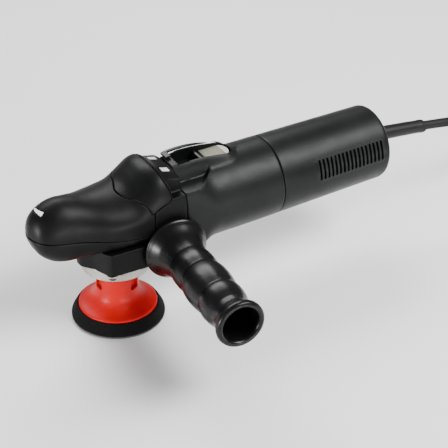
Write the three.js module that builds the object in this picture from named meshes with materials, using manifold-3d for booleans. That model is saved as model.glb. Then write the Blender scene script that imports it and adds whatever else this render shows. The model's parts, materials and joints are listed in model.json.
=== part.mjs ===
// Compact rotary polisher: a mains-powered barrel motor, a two-stage right-angle gear head under a
// rubberised nose cover, a screw-in side handle and a 75 mm backing plate with a foam cushion.
// Millimetres. Origin: centre of the pad's hook face. +Z runs up the spindle, +X towards the tail.
import * as THREE from "three";
import { mergeVertices } from "three/addons/utils/BufferGeometryUtils.js";
import Module from "manifold-3d";

const wasm = await Module();
wasm.setup();

// ---------- driving dimensions ----------
const GAP = 0.3; // clearance between neighbouring pieces
const COVER_WALL = 3.4; // thickness of the soft head covers

const PAD_RADIUS = 37.5;
const HOOK_THICKNESS = 1.2;
const FOAM_TOP = 11;
const PLATE_RIM_RADIUS = 31.6;
const PLATE_HUB_RADIUS = 16.8;
const PLATE_HUB_TOP = 43.5;

const FLANGE_RADIUS = 28; // silver bearing flange under the gear head
const FLANGE_BOTTOM = 48;
const SKIRT_BOTTOM = 57.5; // lower face of the gear housing
const SCREW_X = 17.1; // the four flange screws stand at +-X, +-Y
const SCREW_Y = 26.3;

const MOTOR_Z = 85; // height of the motor shaft
const SPUR_MODULE = 0.8;
const MOTOR_TEETH = 10;
const WHEEL_TEETH = 36;
const BEVEL_MODULE = 1.4;
const BEVEL_PINION_TEETH = 9;
const BEVEL_WHEEL_TEETH = 30;
const SHAFT_Z = MOTOR_Z + (SPUR_MODULE * (MOTOR_TEETH + WHEEL_TEETH)) / 2;

const NOSE_X = -73; // foremost point of the nose
const HEAD_REAR_X = 47.3; // gear housing's joint face with the motor housing
const MOTOR_FRONT_X = HEAD_REAR_X + GAP;
const SEAM_X = 137.6; // joint of motor housing and rear housing
const TAIL_X = 245;
const BARREL_RADIUS = 33.4;
const TAIL_RADIUS = 31.7;
const HOUSING_BORE = 29.4;
const CORE_FRONT_X = 72; // the laminated cores
const CORE_REAR_X = 118;

const PLATE_RADIUS = 26.4; // disc that carries the shafts' rear bearings
const PLATE_Z = 95;
const DIAL_Z = 68; // speed wheel in the tail's end face
const DIAL_RADIUS = 9;

const HANDLE_X = 33.3;
const HANDLE_Z = 70.8;
const HANDLE_FLANGE_Y = 36;
const HANDLE_LEAN = 0.09; // the handle leans towards the nose, radians
const HANDLE_LENGTH = 114;

const BOOT_LENGTH = 56;
const BOOT_Z = 89.5; // where the lead's boot leaves the tail
const BOOT_DROP = [0.104, 0.00041]; // slope and curvature of the drooping boot
const CORD_RADIUS = 4;
const COIL_CENTRE = [424, -24];
const COIL_RADIUS = 44; // at the middle of the turns
const COIL_HALF_WIDTH = 16;
const COIL_HEIGHT = 32;

// ---------- materials ----------
const material = (color, roughness, metalness = 0) =>
  new THREE.MeshStandardMaterial({ color, roughness, metalness });

const softBlack = material(0x1d1f1f, 0.62);
const paintedBlack = material(0x171818, 0.5);
const grainedBlack = material(0x262927, 0.55);
const glossBlack = material(0x0c0c0d, 0.18);
const rubberBlack = material(0x151515, 0.7);
const redPlastic = material(0xd9211c, 0.35);
const foamBlack = material(0x111111, 0.95);
const hookGrey = material(0x2a2a2c, 0.9);
const castSilver = material(0xc9c7be, 0.38, 0.7);
const darkSteel = material(0x2b2724, 0.35, 0.8);
const steel = material(0xa9abad, 0.3, 0.9);
const bearingSteel = material(0xbfc2c4, 0.22, 0.95);
const lamination = material(0x7d7f80, 0.55, 0.7);
const copper = material(0xb4602e, 0.4, 0.8);
const carbon = material(0x232325, 0.7);
const brass = material(0xb8933f, 0.35, 0.85);
const whiteInlay = material(0xf2f2ee, 0.5);
const greyInlay = material(0xb9bab4, 0.55);
const creamPlastic = material(0xc9c9b4, 0.5);
const boardGreen = material(0x1f5b3a, 0.6);
const innerNylon = material(0x3a3c3e, 0.6);

// ---------- solids ----------
function solid(geometry) {
  const bare = geometry.index ? geometry.toNonIndexed() : geometry.clone();
  bare.deleteAttribute("normal");
  bare.deleteAttribute("uv");
  const merged = mergeVertices(bare, 1e-4);
  const mesh = new wasm.Mesh({
    numProp: 3,
    vertProperties: merged.attributes.position.array,
    triVerts: new Uint32Array(merged.index.array),
  });
  return new wasm.Manifold(mesh);
}

function geometryOf(body) {
  const mesh = body.getMesh();
  const geometry = new THREE.BufferGeometry();
  geometry.setAttribute("position", new THREE.BufferAttribute(mesh.vertProperties, 3));
  geometry.setIndex(new THREE.BufferAttribute(mesh.triVerts, 1));
  return geometry;
}

const join = (first, ...rest) => rest.reduce((all, next) => all.add(next), first);
const cut = (body, ...tools) => tools.reduce((left, tool) => left.subtract(tool), body);

const group = new THREE.Group();

function addPiece(name, shape, look, parent = group) {
  const geometry = shape.isBufferGeometry ? shape : geometryOf(shape);
  const mesh = new THREE.Mesh(geometry, look);
  mesh.name = name;
  parent.add(mesh);
  return mesh;
}

function block(x0, x1, y0, y1, z0, z1) {
  const geometry = new THREE.BoxGeometry(x1 - x0, y1 - y0, z1 - z0);
  geometry.translate((x0 + x1) / 2, (y0 + y1) / 2, (z0 + z1) / 2);
  return solid(geometry);
}

// Outline in (u, v), drawn along the third axis from `from` to `to`.
const outline = (points) => new THREE.Shape(points.map(([u, v]) => new THREE.Vector2(u, v)));

function extruded(points, depth) {
  const shape = points instanceof THREE.Shape ? points : outline(points);
  return new THREE.ExtrudeGeometry(shape, { depth, bevelEnabled: false, curveSegments: 5 });
}

function prismZ(points, from, to) {
  const geometry = extruded(points, to - from);
  return solid(geometry.translate(0, 0, from));
}

// (u, v) become (y, z) and the prism runs along X.
function prismX(points, from, to) {
  const geometry = extruded(points, to - from);
  geometry.applyMatrix4(new THREE.Matrix4().set(0, 0, 1, from, 1, 0, 0, 0, 0, 1, 0, 0, 0, 0, 0, 1));
  return solid(geometry);
}

// (u, v) become (x, z) and the prism runs along Y.
function prismY(points, from, to) {
  const geometry = extruded(points, to - from);
  geometry.applyMatrix4(new THREE.Matrix4().set(1, 0, 0, 0, 0, 0, -1, to, 0, 1, 0, 0, 0, 0, 0, 1));
  return solid(geometry);
}

// A turned solid. The profile lists [radius, height], up the outside, and closes on the axis or itself.
function turned(profile, segments = 20) {
  const points = profile.map(([r, h]) => new THREE.Vector2(r, h));
  const geometry = new THREE.LatheGeometry(points, segments);
  return geometry.rotateX(Math.PI / 2);
}

const turnedZ = (profile, segments) => solid(turned(profile, segments));
const turnedX = (profile, segments, z = MOTOR_Z) =>
  solid(turned(profile, segments).rotateY(Math.PI / 2).translate(0, 0, z));
const turnedY = (profile, segments, x, z) =>
  solid(turned(profile, segments).rotateX(-Math.PI / 2).translate(x, 0, z));

const diskX = (radius, x0, x1, z = MOTOR_Z, segments = 20) =>
  turnedX([[0, x0], [radius, x0], [radius, x1], [0, x1]], segments, z);
const ringProfile = (inner, outer, from, to) => [
  [inner, from], [outer, from], [outer, to], [inner, to], [inner, from],
];

// Smooth curve through hand-picked [x, value] points.
function smoothCurve(points) {
  return (x) => {
    const last = points.length - 2;
    const found = points.findIndex((point, i) => i <= last && x <= points[i + 1][0]);
    const i = found < 0 ? last : found;
    const [x1, v1] = points[i];
    const [x2, v2] = points[i + 1];
    const [x0, v0] = points[Math.max(i - 1, 0)];
    const [x3, v3] = points[Math.min(i + 2, points.length - 1)];
    const t = THREE.MathUtils.clamp((x - x1) / (x2 - x1), 0, 1);
    const m1 = ((v2 - v0) / (x2 - x0)) * (x2 - x1);
    const m2 = ((v3 - v1) / (x3 - x1)) * (x2 - x1);
    const [a, b] = [t * t, t * t * t];
    return (2 * b - 3 * a + 1) * v1 + (b - 2 * a + t) * m1 + (3 * a - 2 * b) * v2 + (b - a) * m2;
  };
}

// A body along X whose section at each station is place(x, cos, sin) -> [y, z].
function bodyAlongX(stations, sides, place) {
  const circle = Array.from({ length: sides }, (_, i) => {
    const angle = (2 * Math.PI * (i + 0.5)) / sides;
    return [Math.cos(angle), Math.sin(angle)];
  });
  const steps = stations.length - 1;
  const geometry = new THREE.ExtrudeGeometry(outline(circle), { depth: steps, steps, bevelEnabled: false });
  const position = geometry.attributes.position;
  for (let i = 0; i < position.count; i += 1) {
    const x = stations[Math.round(position.getZ(i))];
    const [y, z] = place(x, position.getX(i), position.getY(i));
    position.setXYZ(i, x, y, z);
  }
  return solid(geometry);
}

// Superellipse coordinate: power 2 is a circle, larger powers are squarer.
const bulge = (value, power) =>
  (Math.abs(value) < 1e-9 ? 0 : Math.sign(value) * Math.abs(value) ** (2 / power));

// ---------- outer form of the gear head ----------
const headWidth = smoothCurve([
  [NOSE_X, 5], [-71.6, 9.4], [-68, 14.2], [-60, 18.6], [-50, 20.6], [-38, 22.4], [-28, 25.6], [-18, 29.4],
  [-6, 31.8], [8, 32.6], [HEAD_REAR_X, 32],
]);
const headTop = smoothCurve([
  [NOSE_X, 104.6], [-71.6, 109], [-68, 114.2], [-60, 119.4], [-50, 122.2], [-39, 121], [-28, 118.6],
  [-17, 117.4], [-5, 117.4], [5, 119.6], [14, 126], [22, 131.2], [30, 131.8], [36, 127.8],
  [HEAD_REAR_X, 124.6],
]);
const headBottom = smoothCurve([
  [NOSE_X, 95], [-71.6, 89.6], [-68, 82], [-60, 75.2], [-50, 71.6], [-38, 71], [-20, 71.8],
  [HEAD_REAR_X, 72.6],
]);
const HEAD_WIDEST_Z = 96;
const headPower = smoothCurve([[NOSE_X, 2], [4, 2], [18, 2.3], [30, 2.8], [HEAD_REAR_X, 2.8]]);

const NOSE_STATIONS = [-71.6, -68.6, -64.6, -58, -49, -38, -28, -18, -6, 6, 14, 22, 30, 37, HEAD_REAR_X];

function headForm(inset, from = NOSE_X) {
  const stations = NOSE_STATIONS.filter((x) => x > from + 0.5);
  return bodyAlongX([from, ...stations], 22, (x, c, s) => {
    const at = Math.min(x, HEAD_REAR_X) - (inset > 0 && x < -60 ? inset * 0.4 : 0);
    const station = Math.max(at, NOSE_X);
    const power = s > 0 ? headPower(station) : 2.9;
    const reach = s > 0 ? headTop(station) - HEAD_WIDEST_Z : HEAD_WIDEST_Z - headBottom(station);
    const y = Math.max(headWidth(station) - inset, 1) * bulge(c, power);
    return [y, HEAD_WIDEST_Z + Math.max(reach - inset, 1) * bulge(s, power)];
  });
}

// Plan of the gear housing's square skirt, half of it, from the nose round to the motor side.
function skirt(grow, from, to) {
  const half = [[-33, 3.4], [-26, 13], [-21.4, 26.2], [-18.4, 30.2], [8, 32], [HEAD_REAR_X, 32]];
  const grown = half.map(([x, y]) => [x < HEAD_REAR_X ? x - grow : x, y + grow]);
  const mirrored = grown.map(([x, y]) => [x, -y]);
  return prismZ([...mirrored, ...grown.reverse()], from, to);
}

// Everything behind the S-shaped seam between nose cover and saddle cover.
function behindSeam(shift) {
  const seam = [
    [18.6, -40], [17.8, -33], [16, -31], [13.3, -28.7], [10.2, -25.2], [7, -21.3], [3.6, -18], [0.4, -13.2],
    [-1, -7.6], [-0.6, -3], [0.8, 0], [2.8, 5], [4.6, 9], [6.6, 15], [10.6, 21], [14.8, 26], [17.8, 31],
    [18.6, 40],
  ];
  const curve = seam.map(([x, y]) => [x + shift, y]);
  return prismZ([...curve, [90, 40], [90, -40]].reverse(), 60, 150);
}

// Side outline of the saddle cover: its sloping rear edge and its lower edge.
function saddleSide(grow) {
  const edge = [
    [-20, 104 - grow], [15.4, 101.4 - grow], [18.4, 104 - grow], [25, 107.2 - grow], [31.6, 109.2 - grow],
    [34.4 + grow, 111.8 - grow], [34 + grow, 117], [31.6 + grow, 124], [27.4 + grow, 136], [-20, 136],
  ];
  return prismY(edge, -40, 40);
}

const seamHeight = (x) => 86.4 - 0.145 * x; // joint of nose cover and lower shell, rising to the nose
const FRONT_COVER_END = 18.6;

function makeHeadCovers() {
  const shell = cut(headForm(0), headForm(COVER_WALL, NOSE_X + COVER_WALL));
  const saddle = behindSeam(0).intersect(saddleSide(0));
  const saddleRoom = behindSeam(-GAP).intersect(saddleSide(GAP));
  const [foot, head] = [seamHeight(FRONT_COVER_END), seamHeight(-90)];
  const front = prismY([[-90, head], [FRONT_COVER_END, foot], [FRONT_COVER_END, 150], [-90, 150]], -50, 50);
  const below = prismY([[-90, 60], [FRONT_COVER_END, 60], [FRONT_COVER_END, foot - GAP],
    [-90, head - GAP]], -50, 50);

  const arrow = arrowPrism(0);
  const arrowRoom = arrowPrism(GAP).subtract(headForm(1.8, NOSE_X + 2));
  const cover = cut(shell.intersect(front), saddleRoom, arrowRoom);
  addPiece("head_cover", cover, softBlack);
  const inlay = headForm(0).intersect(arrow).subtract(headForm(1, NOSE_X + 1.8));
  addPiece("rotation_arrow", inlay, whiteInlay);

  addPiece("saddle_cover", shell.intersect(saddle), softBlack);

  const lower = cut(shell.intersect(below), skirt(GAP, 50, 78), screwRecess());
  addPiece("head_lower_shell", lower, softBlack);
}

// Small sunk hole for the shell's fixing on each side.
const screwRecess = () =>
  join(
    turnedY([[0, -40], [1.6, -40], [1.6, -29.5], [0, -29.5]], 12, -5, 82),
    turnedY([[0, 29.5], [1.6, 29.5], [1.6, 40], [0, 40]], 12, -5, 82),
  );

// Crescent arrow on the nose that shows which way the pad turns.
function arrowPrism(grow) {
  const arc = (fromRadius, toRadius, from, to, count) =>
    Array.from({ length: count }, (_, i) => {
      const share = i / (count - 1);
      const radius = fromRadius + (toRadius - fromRadius) * share;
      const angle = THREE.MathUtils.degToRad(from + (to - from) * share);
      return [-47.6 + radius * Math.cos(angle), 0.4 + radius * Math.sin(angle)];
    });
  const outer = arc(17.6 + grow, 17.6 + grow, 155 - 4 * grow, 200 + 4 * grow, 6);
  const inner = arc(14.9 - grow, 16.8 - grow, 201 + 4 * grow, 157 - 4 * grow, 6);
  return prismZ([...outer, ...inner], 95, 130);
}

const indexMark = (side, grow) =>
  block(36.4 - grow, 43.2 + grow, side * 10 - 2.2 - grow, side * 10 + 2.2 + grow, 118, 135);

function makeIndexMarks() {
  const skin = headForm(0).subtract(headForm(1, NOSE_X + 2));
  addPiece("index_mark_near", skin.intersect(indexMark(-1, 0)), greyInlay);
  addPiece("index_mark_far", skin.intersect(indexMark(1, 0)), greyInlay);
}

// ---------- gear housing ----------
const handleDirection = (side) => new THREE.Vector3(-Math.sin(HANDLE_LEAN), side * Math.cos(HANDLE_LEAN), 0);

// Turned solid on the side handle's axis, height 0 at the handle's flange.
function onHandleAxis(side, profile, segments) {
  const turn = new THREE.Quaternion().setFromUnitVectors(new THREE.Vector3(0, 0, 1), handleDirection(side));
  const geometry = turned(profile, segments).applyQuaternion(turn);
  return solid(geometry.translate(HANDLE_X, side * HANDLE_FLANGE_Y, HANDLE_Z));
}

// The flat shelves beside the raised middle, where the marks are.
const SHELF_Z = 111.2;
const headShelf = (side) =>
  prismZ([[35.2, 50], [60, 50], [60, 21.8], [37.4, 21.8], [35.2, 26]].map(([x, y]) => [x, side * y]),
    SHELF_Z, 150);

const LOCK_X = 0;
const LOCK_Z = 64.5;
const BEARING_BORE = 11.3;

function makeGearHousing() {
  const inner = headForm(COVER_WALL + GAP, NOSE_X + 4).intersect(block(-37, HEAD_REAR_X, -50, 50, 60, 150));
  const covered = behindSeam(-GAP).intersect(saddleSide(GAP));
  const exposed = headForm(0).intersect(block(FRONT_COVER_END + GAP, HEAD_REAR_X, -50, 50, 60, 150));
  const ahead = block(-50, HEAD_REAR_X, -60, 60, 40, 140);
  const bossProfile = [[0, -30], [13, -30], [13, -3.3], [0, -3.3]];
  const lockBoss = turnedY([[0, 28.4], [10.5, 28.4], [10.5, 36], [0, 36]], 16, LOCK_X, LOCK_Z);
  const casting = join(
    cut(inner, headShelf(-1), headShelf(1)),
    cut(exposed, covered, headShelf(-1), headShelf(1)),
    skirt(0, SKIRT_BOTTOM, 77),
    onHandleAxis(-1, bossProfile, 16).intersect(ahead),
    onHandleAxis(1, bossProfile, 16).intersect(ahead),
    lockBoss,
  );

  const gearChamber = turnedZ([[0, 40], [25.2, 40], [25.2, 93], [23.6, 99.5], [0, 99.5]], 22);
  const topJournal = turnedZ([[0, 90], [7.3, 90], [7.3, 109.6], [0, 109.6]], 14);
  const pinionTunnel = diskX(9.2, 10, 23, SHAFT_Z, 12);
  const bearingSeat = diskX(BEARING_BORE, 22.2, 32, SHAFT_Z);
  const wheelChamber = diskX(17, 30.4, 50, SHAFT_Z, 16);
  const pinionChamber = diskX(8, 30.4, 50, MOTOR_Z, 12);
  const plateSeat = diskX(PLATE_RADIUS + GAP, 44.3, 50, PLATE_Z, 24);
  const studHole = [[0, -24], [4.3, -24], [4.3, 0], [0, 0]];
  const lockHole = turnedY([[0, 8], [2.5, 8], [2.5, 28.5], [8, 28.5], [8, 40], [0, 40]], 14, LOCK_X, LOCK_Z);
  const screwHoles = screwPlaces().map(([x, y]) => {
    const hole = turned([[0, 50], [2.2, 50], [2.2, 69], [0, 69]], 8).translate(x, y, 0);
    return solid(hole);
  });
  const markRooms = [indexMark(-1, GAP), indexMark(1, GAP)]
    .map((room) => room.subtract(headForm(1.3, NOSE_X + 2)));
  const housing = cut(
    casting, gearChamber, topJournal, pinionTunnel, bearingSeat, wheelChamber, pinionChamber, plateSeat,
    onHandleAxis(-1, studHole, 10), onHandleAxis(1, studHole, 10), lockHole, ...screwHoles, ...markRooms,
  );
  addPiece("gearbox_housing", housing, paintedBlack);
}

const screwPlaces = () => [
  [-SCREW_X, -SCREW_Y], [SCREW_X, -SCREW_Y], [SCREW_X, SCREW_Y], [-SCREW_X, SCREW_Y],
];

function makeBearingFlange() {
  const top = SKIRT_BOTTOM - GAP;
  const disc = turnedZ([
    [0, FLANGE_BOTTOM], [FLANGE_RADIUS - 1, FLANGE_BOTTOM], [FLANGE_RADIUS, FLANGE_BOTTOM + 1],
    [FLANGE_RADIUS, top], [21, top], [21, 61.4], [0, 61.4],
  ], 30);
  const bore = turnedZ([[0, 30], [10, 30], [10, 49.6], [17.8, 49.6], [17.8, 80], [0, 80]], 22);
  const ears = screwPlaces().map(([x, y]) => solid(
    new THREE.CylinderGeometry(4.2, 4.2, 1, 12).rotateX(Math.PI / 2).translate(x, y, top - 0.5),
  ));
  const holes = screwPlaces().map(([x, y]) => solid(
    new THREE.CylinderGeometry(2.2, 2.2, 8, 8).rotateX(Math.PI / 2).translate(x, y, top),
  ));
  addPiece("bearing_flange", cut(join(disc, ...ears), bore, ...holes), castSilver);

  screwPlaces().forEach(([x, y], i) => {
    const headTop = top - 1 - GAP;
    const screw = turned([[0, headTop - 2.4], [2.7, headTop - 2.4], [3, headTop - 2], [3, headTop],
      [1.9, headTop], [1.9, 68], [0, 68]], 10).translate(x, y, 0);
    const socket = new THREE.CylinderGeometry(1.6, 1.6, 2.4, 6).rotateX(Math.PI / 2)
      .translate(x, y, headTop - 2.4);
    addPiece(`flange_screw_${i + 1}`, solid(screw).subtract(solid(socket)), darkSteel);
  });
}

// ---------- gear train ----------
// Outline of a toothed wheel. root and tip are radii, the widths are shares of the tooth pitch.
function toothedOutline(teeth, root, tip, rootShare, tipShare, phase) {
  const pitch = (2 * Math.PI) / teeth;
  const points = [];
  for (let i = 0; i < teeth; i += 1) {
    const centre = phase + i * pitch;
    const corners = [
      [root, -rootShare / 2], [tip, -tipShare / 2], [tip, tipShare / 2], [root, rootShare / 2],
    ];
    corners.forEach(([r, share]) => {
      const angle = centre + share * pitch;
      points.push([r * Math.cos(angle), r * Math.sin(angle)]);
    });
  }
  return outline(points);
}

const placeOnShaft = (body, z) => body.translate([0, 0, z]);

function makeSpurStage() {
  const [from, to] = [31, 38];
  const pinionRadius = (SPUR_MODULE * MOTOR_TEETH) / 2;
  const wheelRadius = (SPUR_MODULE * WHEEL_TEETH) / 2;
  const pinionTeeth = toothedOutline(MOTOR_TEETH, pinionRadius - 0.95, pinionRadius + 0.6, 0.5, 0.2,
    Math.PI / 2);
  const pinion = placeOnShaft(prismX(pinionTeeth, from, to), MOTOR_Z);
  addPiece("motor_pinion", pinion.subtract(diskX(2.3, from - 1, to + 1, MOTOR_Z, 10)), steel);

  const phase = -Math.PI / 2 + Math.PI / WHEEL_TEETH;
  const wheelOutline = toothedOutline(WHEEL_TEETH, wheelRadius - 0.95, wheelRadius + 0.6, 0.5, 0.22, phase);
  const wheel = placeOnShaft(prismX(wheelOutline, from, to), SHAFT_Z);
  const recess = turnedX([
    [6.5, from - 1], [11.5, from - 1], [11.5, from + 1.8], [6.5, from + 1.8], [6.5, from - 1],
  ], 16, SHAFT_Z);
  addPiece("intermediate_gear", cut(wheel, diskX(4.3, 20, 50, SHAFT_Z, 14), recess), steel);
}

const BEVEL_BACK = (BEVEL_MODULE * BEVEL_WHEEL_TEETH) / 2; // pitch radius of the crown wheel
const BEVEL_DROP = (BEVEL_MODULE * BEVEL_PINION_TEETH) / 2; // pitch radius of the pinion

// Teeth that shrink towards the point where the two shafts' axes cross.
function bevelTeeth(shape, nearScale, farScale, place) {
  const geometry = new THREE.ExtrudeGeometry(shape, { depth: 1, bevelEnabled: false });
  const position = geometry.attributes.position;
  for (let i = 0; i < position.count; i += 1) {
    const scale = THREE.MathUtils.lerp(nearScale, farScale, position.getZ(i));
    position.setXYZ(i, ...place(position.getX(i) * scale, position.getY(i) * scale, scale));
  }
  return solid(geometry);
}

function makeBevelStage() {
  const cone = Math.atan(BEVEL_BACK / BEVEL_DROP);
  const reach = (angle) => BEVEL_DROP * Math.tan(angle);
  const wheelShape = toothedOutline(BEVEL_WHEEL_TEETH, reach(cone - 0.12), reach(cone + 0.046), 0.5, 0.22,
    Math.PI / BEVEL_WHEEL_TEETH);
  const teeth = bevelTeeth(wheelShape, 1.36, 0.66, (u, v, scale) => [u, v, SHAFT_Z - BEVEL_DROP * scale]);
  const slope = Math.tan(Math.PI / 2 - (cone - 0.068));
  const surface = (r) => SHAFT_Z - r * slope;
  const toothRing = turnedZ([[14, 88], [22.3, 88], [22.3, SHAFT_Z], [14, SHAFT_Z], [14, 88]], 30);
  const disc = turnedZ([[6, 86], [12, 86], [14, 90], [20.5, 92], [22.3, 93.4], [22.3, surface(22.3)],
    [14, surface(14)], [6, surface(14)], [6, 86]], 30);
  addPiece("bevel_gear", disc.add(teeth.intersect(toothRing)), darkSteel);

  const pinionCone = Math.PI / 2 - cone;
  const radius = (angle) => BEVEL_BACK * Math.tan(angle);
  const pinionShape = toothedOutline(BEVEL_PINION_TEETH, radius(pinionCone - 0.068),
    radius(pinionCone + 0.046), 0.5, 0.2, -Math.PI / 2);
  const pinion = bevelTeeth(pinionShape, 0.72, 1, (u, v, scale) => [BEVEL_BACK * scale, u, SHAFT_Z + v]);
  addPiece("bevel_pinion", pinion.subtract(diskX(2.5, 10, 30, SHAFT_Z, 10)), steel);
}

function makeIntermediateShaft() {
  const profile = [[0, 14.6], [2.2, 14.6], [2.2, 21.3], [5.2, 21.3], [5.2, 22.3], [3.7, 22.3], [3.7, 30.4],
    [4, 30.4], [4, 38.4], [2.7, 38.4], [2.7, 44], [0, 44]];
  addPiece("intermediate_shaft", turnedX(profile, 14, SHAFT_Z), steel);
  addPiece("shaft_front_bearing", turnedX(ringProfile(4, 11, 22.7, 29.7), 20, SHAFT_Z), bearingSteel);
  addPiece("shaft_rear_bearing", turnedX(ringProfile(3, 8, 39.8, 44.2), 16, SHAFT_Z), bearingSteel);
}

const SPINDLE_STEPS = [
  [0, 15], [6.4, 15], [7, 15.8], [7, 42.6], [9, 42.6], [9, 49], [7.2, 49.4], [7.2, 61.6], [9, 61.6],
  [9, 67.4], [6.6, 67.4], [6.6, 85.6], [5.7, 85.6], [5.7, 97.4], [4.7, 98.6], [4.7, 108.8], [0, 108.8],
];

function makeSpindle() {
  const lugs = [45, 135, 225, 315].map((angle) => {
    const lug = new THREE.BoxGeometry(7, 2.8, 4.6).translate(10.4, 0, 64.5);
    return solid(lug.rotateZ(THREE.MathUtils.degToRad(angle)));
  });
  addPiece("spindle", join(turnedZ(SPINDLE_STEPS, 14), ...lugs), steel);
  addPiece("spindle_lower_bearing", turnedZ(ringProfile(7.5, 17.5, 49.9, 60.9), 22), bearingSteel);
  addPiece("spindle_upper_bearing", turnedZ(ringProfile(5, 7, 99.2, 109.2), 16), bearingSteel);
}

// Spindle-lock button on the far side, with its pin that drops between the spindle's four lugs.
function makeLockButton() {
  const profile = [[0, 14.6], [2.2, 14.6], [2.2, 33.8], [7.6, 33.8], [7.6, 37.8], [6.6, 38.8], [0, 38.8]];
  addPiece("lock_button", turnedY(profile, 18, LOCK_X, LOCK_Z), glossBlack);
}

// ---------- backing plate ----------
function makePad() {
  const hooks = [[0, 0], [PAD_RADIUS, 0], [PAD_RADIUS, HOOK_THICKNESS], [0, HOOK_THICKNESS]];
  addPiece("hook_face", turned(hooks, 36), hookGrey);
  const foam = [[0, HOOK_THICKNESS + GAP], [PAD_RADIUS - 0.4, HOOK_THICKNESS + GAP], [PAD_RADIUS, 2.6],
    [36.6, 4.6], [34.8, 7.8], [33.1, FOAM_TOP], [32, FOAM_TOP], [32, 9.4], [0, 9.4]];
  addPiece("foam_cushion", turned(foam, 36), foamBlack);

  const plate = [[0, 9.7], [PLATE_RIM_RADIUS, 9.7], [PLATE_RIM_RADIUS, 12], [31, 12.6], [26, 14.6],
    [21.5, 17.6], [18.6, 21.6], [17.2, 27], [PLATE_HUB_RADIUS, 33], [16.2, PLATE_HUB_TOP - 1],
    [15.4, PLATE_HUB_TOP], [0, PLATE_HUB_TOP]];
  const socket = turnedZ([[0, 14.4], [10.2, 14.4], [10.2, 42.3], [9.6, 42.3], [9.6, 50], [0, 50]], 6);
  const throat = turnedZ([[0, 30], [9.6, 30], [9.6, 50], [0, 50]], 20);
  const pockets = [0, 120, 240].map((turn) => {
    const pocket = new THREE.BoxGeometry(10, 9, 32).translate(18.4, 0, 45);
    return solid(pocket.rotateZ(THREE.MathUtils.degToRad(58.3 + turn)));
  });
  addPiece("backing_plate", cut(turnedZ(plate, 36), socket, throat, ...pockets), redPlastic);

  const nut = turnedZ([[0, 14.7], [9.8, 14.7], [9.8, 42], [0, 42]], 6);
  const thread = turnedZ([[0, 10], [7.3, 10], [7.3, 50], [0, 50]], 16);
  addPiece("plate_nut", nut.subtract(thread), steel);
}

// ---------- motor ----------
function makeGearPlate() {
  const body = join(
    diskX(PLATE_RADIUS, 44.6, HEAD_REAR_X, PLATE_Z, 24),
    diskX(10.4, 39.6, 45, SHAFT_Z, 20),
    diskX(16, 46, 55.6, MOTOR_Z),
  );
  const plate = cut(
    body,
    diskX(8.3, 39, 44.6, SHAFT_Z, 20),
    diskX(13.3, 47.6, 56, MOTOR_Z),
    diskX(5.4, 30, 50, MOTOR_Z, 14),
  );
  addPiece("gear_plate", plate, castSilver);
}

function makeArmature() {
  const shaft = [[0, 30.4], [2, 30.4], [2, 38.4], [4, 38.4], [4, 46], [4.7, 47], [4.7, 56], [5, 56], [5, 147],
    [3.7, 147], [3.7, 158.4], [0, 158.4]];
  addPiece("armature_shaft", turnedX(shaft, 14), steel);
  addPiece("front_motor_bearing", turnedX(ringProfile(5, 13, 47.9, 55.4)), bearingSteel);
  addPiece("rear_motor_bearing", turnedX(ringProfile(4, 11, 149.9, 156.9), 20), bearingSteel);

  const slots = 12;
  const pitch = (2 * Math.PI) / slots;
  const rim = [];
  for (let i = 0; i < slots; i += 1) {
    const at = (radius, share) => {
      const angle = (i + share) * pitch;
      rim.push([radius * Math.cos(angle), radius * Math.sin(angle)]);
    };
    at(16, -0.36);
    at(16.2, 0);
    at(16, 0.36);
    at(9.6, 0.2);
    at(9.6, 0.8);
  }
  // the slot flanks run inwards from one tooth tip to the next
  const core = placeOnShaft(prismX(rim, CORE_FRONT_X, CORE_REAR_X), MOTOR_Z);
  addPiece("armature_core", core.subtract(diskX(5.3, 60, 130, MOTOR_Z, 14)), lamination);

  const endTurns = (from, to) => turnedX([
    [7, from], [12.4, from], [14.2, from + 2], [14.2, to - 1], [13, to], [7, to], [7, from],
  ], 14);
  const bars = Array.from({ length: slots }, (_, i) => {
    const bar = new THREE.BoxGeometry(CORE_REAR_X - CORE_FRONT_X + 6, 2.4, 2.2);
    bar.translate((CORE_FRONT_X + CORE_REAR_X) / 2, 0, 12.4).rotateX(-(i + 0.5) * pitch + Math.PI / 2);
    return solid(bar.translate(0, 0, MOTOR_Z));
  });
  const winding = join(endTurns(65.6, CORE_FRONT_X - GAP), endTurns(CORE_REAR_X + GAP, 128), ...bars);
  addPiece("armature_winding", winding, copper);

  const commutator = cut(diskX(11, 131, 145), diskX(5.3, 120, 150, MOTOR_Z, 14));
  const grooves = Array.from({ length: 12 }, (_, i) => {
    const groove = new THREE.BoxGeometry(20, 0.6, 3).translate(138, 0, 11.6).rotateX(i * pitch);
    return solid(groove.translate(0, 0, MOTOR_Z));
  });
  addPiece("commutator", cut(commutator, ...grooves), copper);

  const hub = turnedX([[5.3, 56.4], [9, 56.4], [11, 61], [25, 61.6], [25, 63], [5.3, 63], [5.3, 56.4]], 20);
  const blades = Array.from({ length: 7 }, (_, i) => {
    const blade = new THREE.BoxGeometry(5.2, 1.4, 15).translate(59, 2.5, 17).rotateX((i * 2 * Math.PI) / 7);
    return solid(blade.translate(0, 0, MOTOR_Z));
  });
  addPiece("cooling_fan", join(hub, ...blades), innerNylon);
}

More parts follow.
